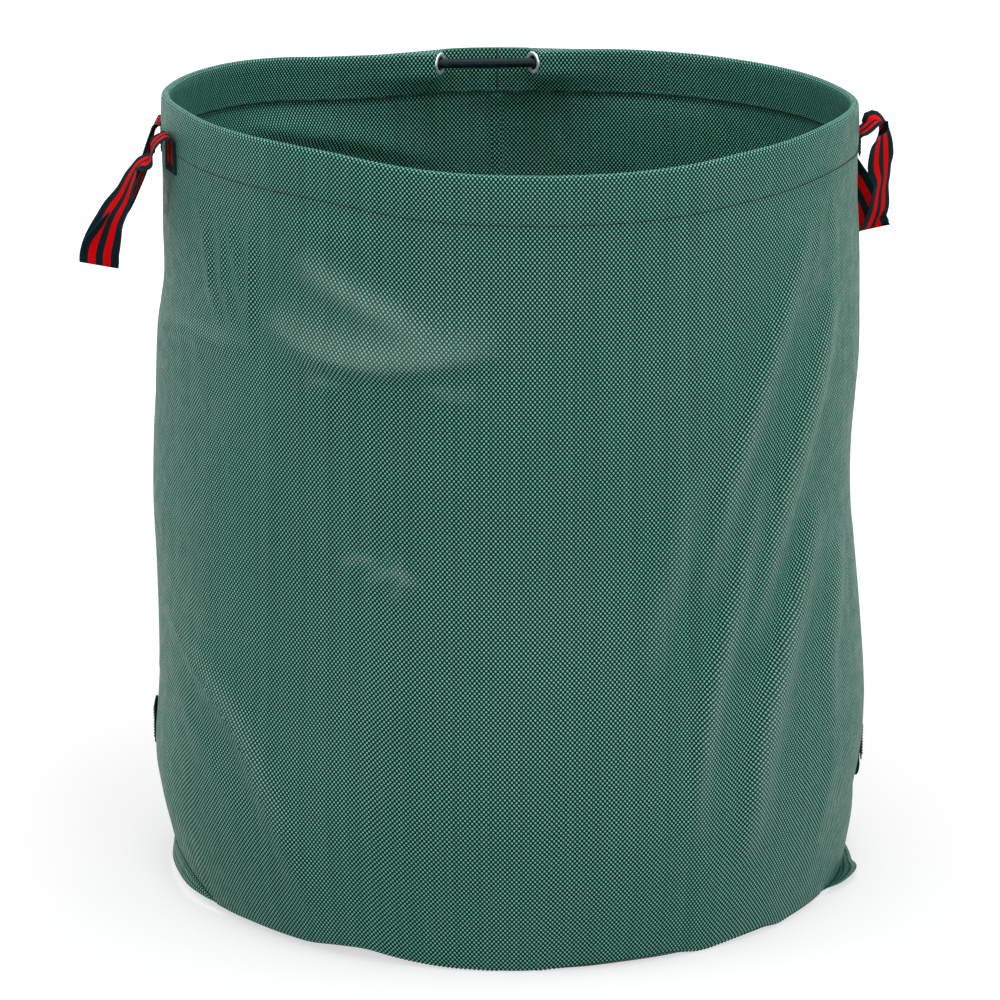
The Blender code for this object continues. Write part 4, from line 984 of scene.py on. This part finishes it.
def buildJoint():
    # eyelets, washers and sleeve: profiles turned about their own axes
    hole, barrel, outer = joint["hole"] / 2, joint["hole"] / 2 + joint["barrel"], joint["eyelet"] / 2
    crownAt = (hole + outer) / 2 + eyelet["crownOut"]
    flange = [(hole, eyelet["back"]), (barrel, eyelet["back"]), (barrel, eyelet["seat"]),
              (outer, eyelet["seat"]), (outer - eyelet["edgeIn"], eyelet["edge"]), (crownAt, eyelet["crown"]),
              (barrel, eyelet["collar"]), (hole, eyelet["mouth"])]
    inner = barrel + washer["gap"]
    ring = [(inner, washer["top"]), (inner, washer["back"]), (outer - washer["backIn"], washer["back"]),
            (outer - washer["topIn"], washer["top"])]
    parts = (("face", "eyelet", roundedProfile(flange, eyelet["round"])),
             ("back", "eyelet_washer", roundedProfile(ring, washer["round"])))
    for side, word in ((-1, "left"), (1, "right")):
        for part, node, profile in parts:
            piece = turnedPiece(f"eyelet_{word}_{part}", profile, eyeletPlace(side), zinc)
            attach(piece, "rim")
            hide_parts(f"{node}_{word}")
    bore, wall, half = joint["sleeveBore"] / 2, joint["sleeveDiameter"] / 2, joint["sleeveLength"] / 2
    profile = roundedProfile([(bore, -half), (wall, -half), (wall, half), (bore, half)], joint["sleeveRound"])
    place = jointPlace() @ Matrix.Translation((0, joint["sleeveRadiusOut"], joint["sleeveHeight"]))
    sleeve = turnedPiece("hoop_sleeve_tube", profile, place @ Matrix.Rotation(math.radians(90), 4, "Y"), tube)
    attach(sleeve, "rim")
    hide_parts("hoop_sleeve")


def buildHoop(stations=360, sides=12):
    # a round rod in the hem's pocket: its middle at hoop radius and hoop height + mouth rise, by azimuth
    turn = np.linspace(0, 2 * np.pi, stations, endpoint=False)
    away = turnFrom(turn, joint["azimuth"])
    climb = bag["height"] - bag["hoop"] - joint["sleeveHeight"]
    height = joint["sleeveHeight"] + climb * toRim(away) + riseAt(mouthRise, turn)
    angle = np.linspace(0, 2 * np.pi, sides, endpoint=False)[:, None]
    radius = joint["rod"] / 2
    points = roundPoint(hoopRadius(away) + radius * np.cos(angle), turn, height + radius * np.sin(angle))
    u, v = np.meshgrid(np.linspace(0, 1, stations + 1), np.linspace(0, 1, sides + 1))
    rod = faceOut(gridPiece("hoop_rod", points, np.stack([u, v], axis=-1), [rodFinish], closedRows=True))
    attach(rod, "rim")
    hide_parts("spring_hoop")


buildJoint()
buildHoop()
print("hoop and eyelets made")

strap = {"width": 0.038, "thick": 0.0014, "spacing": 0.1286, "fold": 0.008, "standOff": 0.0012,
         "tabFoot": 0.717, "tabStart": 0.001, "hingeStand": 0.0013, "top": 0.755, "step": 0.0022,
         "facePoints": 15, "faceHalf": 0.985, "hollow": 0.06, "hollowTurn": 9, "sharpFrom": 75,
         "edge": ((1.0, 0.55), (1.006, 0.0), (1.0, -0.55)),  # shares of half the width and half the thickness
         "tabPoints": 7, "archStep": 15, "legSteps": 6, "endTurns": (-60, -30, 0, 30, 60), "endDip": 0.0022,
         "settleFrom": 13, "settleOver": 16, "slantAfter": 2, "slantOver": 5,  # in points of the spine
         "swingTilt": 0.05, "swingBefore": 0.0017, "swingAfter": 0.0035,
         "boxHalf": 0.015, "boxInset": 0.003, "boxStand": 0.0002}
# The upper handles. Each leg's table runs from its tab's fold to the loop's low end: reach outwards as a
# share of the handle's reach, place along the rim as a share of half the tabs' spacing, drop as a share of
# hang, and twist in degrees.
upperHandles = {
    "left": {"azimuth": 188.0, "hang": 0.134, "reach": 0.0611, "frontTop": 0.747, "frontFold": 0.008,
             "rearTop": 0.743, "rearFold": 0.0036, "frontBack": 1.6, "endSlant": -0.21,
        "front": [(0.000, 1.00, 0.00, 0), (0.106, 0.93, 0.04, 0), (0.175, 0.84, 0.10, 0),
                  (0.195, 0.76, 0.165, 0), (0.235, 0.71, 0.20, 0), (0.320, 0.65, 0.225, 0),
                  (0.410, 0.59, 0.275, 6), (0.500, 0.53, 0.365, 12), (0.610, 0.39, 0.50, 20),
                  (0.770, 0.23, 0.64, 33), (0.850, 0.17, 0.73, 44), (0.975, 0.10, 0.90, 72),
                  (1.000, 0.09, 1.00, 90)],
        "rear": [(-0.072, -1.00, 0.063, 0), (-0.030, -0.86, 0.085, 2), (0.040, -0.66, 0.12, 8),
                 (0.110, -0.46, 0.19, 14), (0.200, -0.28, 0.28, 18), (0.285, -0.20, 0.38, 20),
                 (0.396, -0.16, 0.49, 22), (0.540, -0.12, 0.60, 29), (0.729, -0.05, 0.70, 40),
                 (0.877, 0.00, 0.80, 54), (0.984, 0.02, 0.90, 72), (1.000, 0.03, 1.00, 90)]},
    "right": {"azimuth": 10.0, "hang": 0.120, "reach": 0.0185, "frontTop": 0.735, "frontFold": 0.0036,
              "rearTop": 0.743, "rearFold": 0.0036, "frontBack": 0.0, "endSlant": 0.20,
        "front": [(-0.238, 1.00, 0.137, 0), (0.020, 0.98, 0.112, 0), (0.300, 0.93, 0.085, 4),
                  (0.580, 0.88, 0.070, 12), (0.800, 0.84, 0.100, 22), (0.960, 0.80, 0.180, 32),
                  (1.000, 0.74, 0.290, 46), (1.120, 0.62, 0.450, 52), (1.280, 0.54, 0.575, 38),
                  (1.240, 0.48, 0.690, 38), (1.220, 0.40, 0.860, 47), (0.980, 0.33, 1.000, 50)],
        "rear": [(-0.238, -1.00, 0.070, 0), (0.020, -0.98, 0.090, 0), (0.250, -0.95, 0.150, 0),
                 (0.300, -0.90, 0.260, 2), (0.320, -0.82, 0.400, 6), (0.400, -0.66, 0.560, 14),
                 (0.540, -0.45, 0.680, 24), (0.700, -0.20, 0.780, 32), (0.840, 0.00, 0.860, 38),
                 (0.920, 0.14, 0.930, 44), (0.960, 0.248, 1.000, 50)]},
}
lowerHandles = {"left": {"azimuth": 170.6, "height": 0.144}, "right": {"azimuth": 9.4, "height": 0.126}}
lowerLoop = {"tab": 0.035, "bow": 0.0015, "sag": 0.042, "tip": 2.0, "tabGap": 0.0003, "stand": 0.0002,
             "tabRows": 14, "loopRows": 30, "slackPower": 1.5, "settleShare": 0.5, "swingBefore": 0.004,
             "swingAfter": 0.008, "boxHalf": 0.0135, "boxUp": 0.015, "boxStand": 0.0004}


def ribbonPiece(name, spine, width, frontFace):
    # A strap with rounded edges: a flat section carried along the spine, turned to each point's width
    # direction and front face. Its faces stand at 1 - 0.06 cos(9 x) of half the thickness, x from -1 to 1.
    length = lengthAlong(spine)
    at = np.linspace(0, length[-1], max(8, int(length[-1] / strap["step"])))
    spine, width = readAlong(spine, length, at), unit(readAlong(width, length, at))
    out = unit(readAlong(frontFace, length, at))
    out = unit(out - width * np.sum(out * width, axis=1, keepdims=True))
    half, thick = strap["width"] / 2, strap["thick"] / 2
    edge = np.array(strap["edge"])
    face = [(x * strap["faceHalf"], 1.0 - strap["hollow"] * np.cos(x * strap["hollowTurn"]))
            for x in np.linspace(-1, 1, strap["facePoints"])]
    back = [(x, -h) for x, h in face[::-1]]
    section = np.array(face + edge.tolist() + back + (edge * (-1, 1))[::-1].tolist())
    points = (spine[:, None] + width[:, None] * (section[:, 0] * half)[None, :, None]
              + out[:, None] * (section[:, 1] * thick)[None, :, None])
    u = np.append(section[:, 0], section[0, 0]) * 0.5 + 0.5
    uv = np.stack(np.broadcast_arrays(u[None, :], at[:, None]), axis=-1)
    piece = faceOut(gridPiece(name, points, uv, [webbing]), closeEnds=True)
    piece.data.shade_smooth()
    piece.data.set_sharp_from_angle(angle=math.radians(strap["sharpFrom"]))
    return piece


def handleAxes(azimuth):
    # straight out of the bag, and level along the rim towards the front
    a = math.radians(azimuth)
    out = np.array([math.cos(a), math.sin(a), 0.0])
    along = np.array([-out[1], out[0], 0.0])
    return out, along if along[1] < 0 else -along


def acrossRun(width, run, share):
    # takes a share of the spine's run out of the width directions
    return unit(width - run * np.sum(width * run, axis=1, keepdims=True) * share)


def upperTab(handle, sign):
    # which way an upper tab faces and its sideways direction: the front one has sign 1, the rear one -1
    out, forward = handleAxes(handle["azimuth"])
    turned = math.asin(strap["spacing"] / 2 / bag["rim"])
    if sign > 0:
        turned -= math.radians(handle["frontBack"])
    toward = out * math.cos(turned) + sign * forward * math.sin(turned)
    return toward, unit(np.cross(upward, toward))


def upperHalf(handle, sign, key, middle, tabLine, tabRadius):
    # up one tab, over its fold and down one leg of the loop: spine points and width directions
    out, forward = handleAxes(handle["azimuth"])
    toward, side = upperTab(handle, sign)
    side = side if side @ forward > 0 else -side
    half, fold = strap["spacing"] / 2, handle[key + "Fold"]
    heights = np.linspace(strap["tabFoot"] + strap["tabStart"], handle[key + "Top"], strap["tabPoints"])
    sewn = toward * tabRadius + np.outer(heights, upward)
    lean = (tabLine + fold) * out + sign * forward * half - toward * tabRadius
    angle = np.radians(np.arange(strap["archStep"], 91, strap["archStep"]))[:, None]
    arch = sewn[-1] + lean * (1 - np.cos(angle)) + upward * fold * np.sin(angle)
    table = np.array(handle[key], float)
    at = np.linspace(0, len(table) - 1, (len(table) - 1) * strap["legSteps"] + 1)
    reach, along, drop, twist = smoothThrough(np.arange(len(table)), table, at)[1:].T[:, :, None]
    leg = middle + reach * handle["reach"] * out + along * half * forward - drop * handle["hang"] * upward
    twist = np.radians(twist)
    share = np.linspace(0, 1, len(arch) + 1)[1:, None]
    width = np.vstack([np.repeat(-sign * side[None], len(sewn), axis=0),
                       unit(-sign * side * (1 - share) - sign * forward * share),
                       np.sin(twist) * out - sign * np.cos(twist) * forward])
    return np.vstack([sewn, arch, leg]), width


def upperStrap(word, handle):
    # one length of webbing: up the front tab, over, down both legs of the loop and back to the rear tab
    out = handleAxes(handle["azimuth"])[0]
    tabRadius = bag["rim"] + bag["clothHalf"] + strap["standOff"]
    tabLine = (bag["rim"] + strap["hingeStand"]) * math.cos(math.asin(strap["spacing"] / 2 / bag["rim"]))
    middle = (tabLine + strap["fold"]) * out + upward * strap["top"]
    frontSpine, frontWidth = upperHalf(handle, 1, "front", middle, tabLine, tabRadius)
    rearSpine, rearWidth = upperHalf(handle, -1, "rear", middle, tabLine, tabRadius)
    # the loop's low end turns from one leg to the other through a shallow dip
    angle = np.radians(strap["endTurns"])[:, None]
    end, swing = (frontSpine[-1] + rearSpine[-1]) / 2, (rearSpine[-1] - frontSpine[-1]) / 2
    turnSteps = end + swing * np.sin(angle) - upward * strap["endDip"] * np.cos(angle)
    turnWidth = np.repeat(unit(frontWidth[-1] + rearWidth[-1])[None], len(turnSteps), axis=0)
    spine = np.vstack([frontSpine, turnSteps, rearSpine[::-1]])
    run = unit(np.gradient(spine, axis=0))
    order = np.arange(len(spine))
    settled = (np.minimum(order, order[::-1]) - strap["settleFrom"]) / strap["settleOver"]
    width = np.vstack([frontWidth, turnWidth, rearWidth[::-1]])
    width = acrossRun(width, run, np.clip(settled, 0, 1)[:, None])
    # the low end slants
    slant = np.exp(-(((order - len(frontSpine) - strap["slantAfter"]) / strap["slantOver"]) ** 2))
    width[:, 2] += handle["endSlant"] * width[:, 0] * slant
    width = unit(width)
    face = np.cross(width, run)
    piece = ribbonPiece(f"{word}_handle_strap", spine, width, face if face[0] @ out > 0 else -face)
    # a line outwards and a little downwards through the loop's middle, with a start and an end on it
    swinging = unit(out - upward * strap["swingTilt"])
    start, end = middle - swinging * strap["swingBefore"], middle + swinging * strap["swingAfter"]
    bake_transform(piece)
    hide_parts(f"{word}_handle_loop", f"{word}_handle_front_tab", f"{word}_handle_rear_tab")
    for sign, key in ((1, "front"), (-1, "rear")):
        toward, side = upperTab(handle, sign)
        tabTop, tabFoot = handle[key + "Top"], strap["tabFoot"]
        front = tabRadius + strap["thick"] / 2 + strap["boxStand"]
        boxUp = (tabTop - tabFoot) / 2 - strap["boxInset"]
        centre = toward * front + upward * (tabFoot + tabTop) / 2
        box = boxStitchLines(centre, side, strap["boxHalf"], boxUp, toward)
        stitches = stitchPiece(f"{word}_handle_{key}_stitches", box, boxSewing)
        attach(stitches, "rim")
        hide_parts(f"{word}_handle_{key}_stitching")


def boxStitchLines(centre, side, halfSide, halfUp, outward):
    # a sewn box with a cross in it
    turns = ((-1, -1), (1, -1), (1, 1), (-1, 1))
    corners = [centre + side * halfSide * a + upward * halfUp * b for a, b in turns]
    lines = []
    for route in (corners + corners[:1], corners[0::2], corners[1::2]):
        at = np.linspace(0, len(route) - 1, (len(route) - 1) * boxSewing["steps"] + 1)
        dense = readAlong(np.array(route), np.arange(len(route)), at)
        lines.append((dense, np.repeat(outward[None], len(dense), axis=0), False))
    return lines


def lowerStrap(word, handle):
    # each half is a tab with its half of the slack loop, made as a piece of its own
    out, forward = handleAxes(handle["azimuth"])
    toward = 1 if forward @ np.array([-out[1], out[0], 0]) > 0 else -1
    centre, height = math.radians(handle["azimuth"]), handle["height"]
    inner = strap["spacing"] / 2 - lowerLoop["tab"] / 2
    wall = float(wallRadius(centre, height))
    for sign, key in ((1, "front"), (-1, "rear")):
        tab = np.linspace(inner + lowerLoop["tab"], inner + lowerLoop["tabGap"], lowerLoop["tabRows"])
        loop = np.linspace(1, 0, lowerLoop["loopRows"])[1:]
        slack = np.concatenate([np.zeros(len(tab)), (1 - loop**2) ** lowerLoop["slackPower"]])
        azimuth = centre + sign * toward * np.concatenate([tab, loop * inner]) / wall
        radius = wallRadius(azimuth, np.full_like(azimuth, height)) + strap["thick"] / 2 + lowerLoop["stand"]
        spine = roundPoint(radius, azimuth, height)
        spine = spine + np.outer(slack * lowerLoop["bow"], out) - np.outer(slack * lowerLoop["sag"], upward)
        tip = np.radians(lowerLoop["tip"]) * slack
        run = unit(np.gradient(spine, axis=0))
        settled = np.clip((1 - loop) / lowerLoop["settleShare"], 0, 1)
        settled = np.concatenate([np.zeros(len(tab)), settled])[:, None]
        width = acrossRun(np.outer(np.cos(tip), upward) - np.outer(np.sin(tip), out), run, settled)
        face = np.cross(width, run)
        piece = ribbonPiece(f"{word}_lower_strap_{key}", spine, width, face if face[0] @ out > 0 else -face)
        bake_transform(piece)
        nodes = [f"{word}_lower_handle_{key}_tab"] + ([f"{word}_lower_handle_loop"] if sign > 0 else [])
        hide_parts(*nodes)
        tabMiddle = centre + sign * toward * (inner + lowerLoop["tab"] / 2) / wall
        normal = np.array([math.cos(tabMiddle), math.sin(tabMiddle), 0.0])
        side = np.array([-normal[1], normal[0], 0.0])
        front = float(wallRadius(tabMiddle, height)) + strap["thick"] + lowerLoop["boxStand"]
        middle = normal * front + upward * height
        box = boxStitchLines(middle, side, lowerLoop["boxHalf"], lowerLoop["boxUp"], normal)
        stitches = stitchPiece(f"{word}_lower_{key}_stitches", box, boxSewing)
        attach(stitches, "base")
        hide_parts(f"{word}_lower_handle_{key}_stitching")


for word in ("left", "right"):
    upperStrap(word, upperHandles[word])
    lowerStrap(word, lowerHandles[word])
print("webbing made")

studio = {"floor": "BCBCBC", "floorGlow": 0.60, "glowRadii": (0.5, 2.6), "floorRadius": 16, "ambient": 0.50,
          "view": 168.58, "eye": (0.0, -4.454, 1.595), "down": 15.40, "shift": -0.0102, "farthest": 60,
          # name, place, size, watts and the point it aims at
          "lamps": [("right", (3.7, -0.2, 1.6), 1.4, 5.0, (0, 0, 0.45)),
                    ("left", (-2.9, -0.9, 2.4), 1.4, 17.0, (0, 0, 0.55)),
                    ("over", (0.2, -0.2, 3.0), 1.8, 40.0, (0, 0, 0.6)),
                    ("front", (1.5, -4.2, 1.5), 1.6, 43.0, (0, 0, 0.4))]}


def seenShare(tree):
    # 1 for the camera, in reflections and through clear things, 0 for the light that falls on the bag
    path = addNode(tree, "LightPath")
    seen = addNode(tree, "Math", [path["Is Camera Ray"], path["Is Glossy Ray"]], operation="MAXIMUM")[0]
    return addNode(tree, "Math", [seen, path["Is Transmission Ray"]], operation="MAXIMUM")[0]


def buildFloor():
    # Matt pale studio paper. It glows for the eye only, and less near the bag, so it shows white with a
    # soft shadow.
    bpy.ops.mesh.primitive_circle_add(vertices=96, radius=studio["floorRadius"], fill_type="NGON",
                                      location=(0, 0, 0))
    floor = bpy.context.object
    floor.name = "floor"
    made, tree = newMaterial("floor_paper", Roughness=0.95, Base_Color=srgb(studio["floor"]),
                             Specular_IOR_Level=0.05, Emission_Color=(1, 1, 1, 1))
    where = addNode(tree, "TexCoord")["Object"]
    away = addNode(tree, "VectorMath", [where], operation="LENGTH")["Value"]
    glow = addNode(tree, "MapRange", [away, *studio["glowRadii"], studio["floorGlow"], 1.0],
                   interpolation_type="SMOOTHSTEP")[0]
    glow = addNode(tree, "Math", [glow, seenShare(tree)], operation="MULTIPLY")[0]
    floor.data.materials.append(linkShader(made, Emission_Strength=glow))


def buildLight():
    # a white backdrop and four lamps, each a square that faces its aim
    world = bpy.data.worlds.new("studio")
    bpy.context.scene.world = world
    world.use_nodes = True
    tree = world.node_tree
    tree.nodes.clear()
    # the backdrop is seen at strength 1 and lights the bag at the ambient strength
    strength = addNode(tree, "Math", [seenShare(tree), 1.0 - studio["ambient"], studio["ambient"]],
                       operation="MULTIPLY_ADD")[0]
    back = addNode(tree, "Background", {"Color": (1, 1, 1, 1), "Strength": strength})[0]
    addNode(tree, "OutputWorld", [back])
    for name, place, size, watts, aim in studio["lamps"]:
        light = bpy.data.lights.new(name, "AREA")
        light.size, light.energy = size, watts
        lamp = newObject(name, light)
        lamp.location = place
        lamp.rotation_euler = (Vector(aim) - Vector(place)).to_track_quat("-Z", "Y").to_euler()


def buildCamera():
    # a long lens, a little above the bag and looking down at it
    lens = bpy.data.cameras.new("camera")
    lens.sensor_width, lens.lens, lens.shift_x = 36.0, studio["view"], studio["shift"]
    lens.clip_end = studio["farthest"]
    camera = newObject("camera", lens)
    camera.location = studio["eye"]
    camera.rotation_euler = (math.radians(90 - studio["down"]), 0, 0)
    bpy.context.scene.camera = camera
    bpy.context.scene.view_settings.view_transform = "Standard"


buildFloor()
buildLight()
buildCamera()
print("studio made")
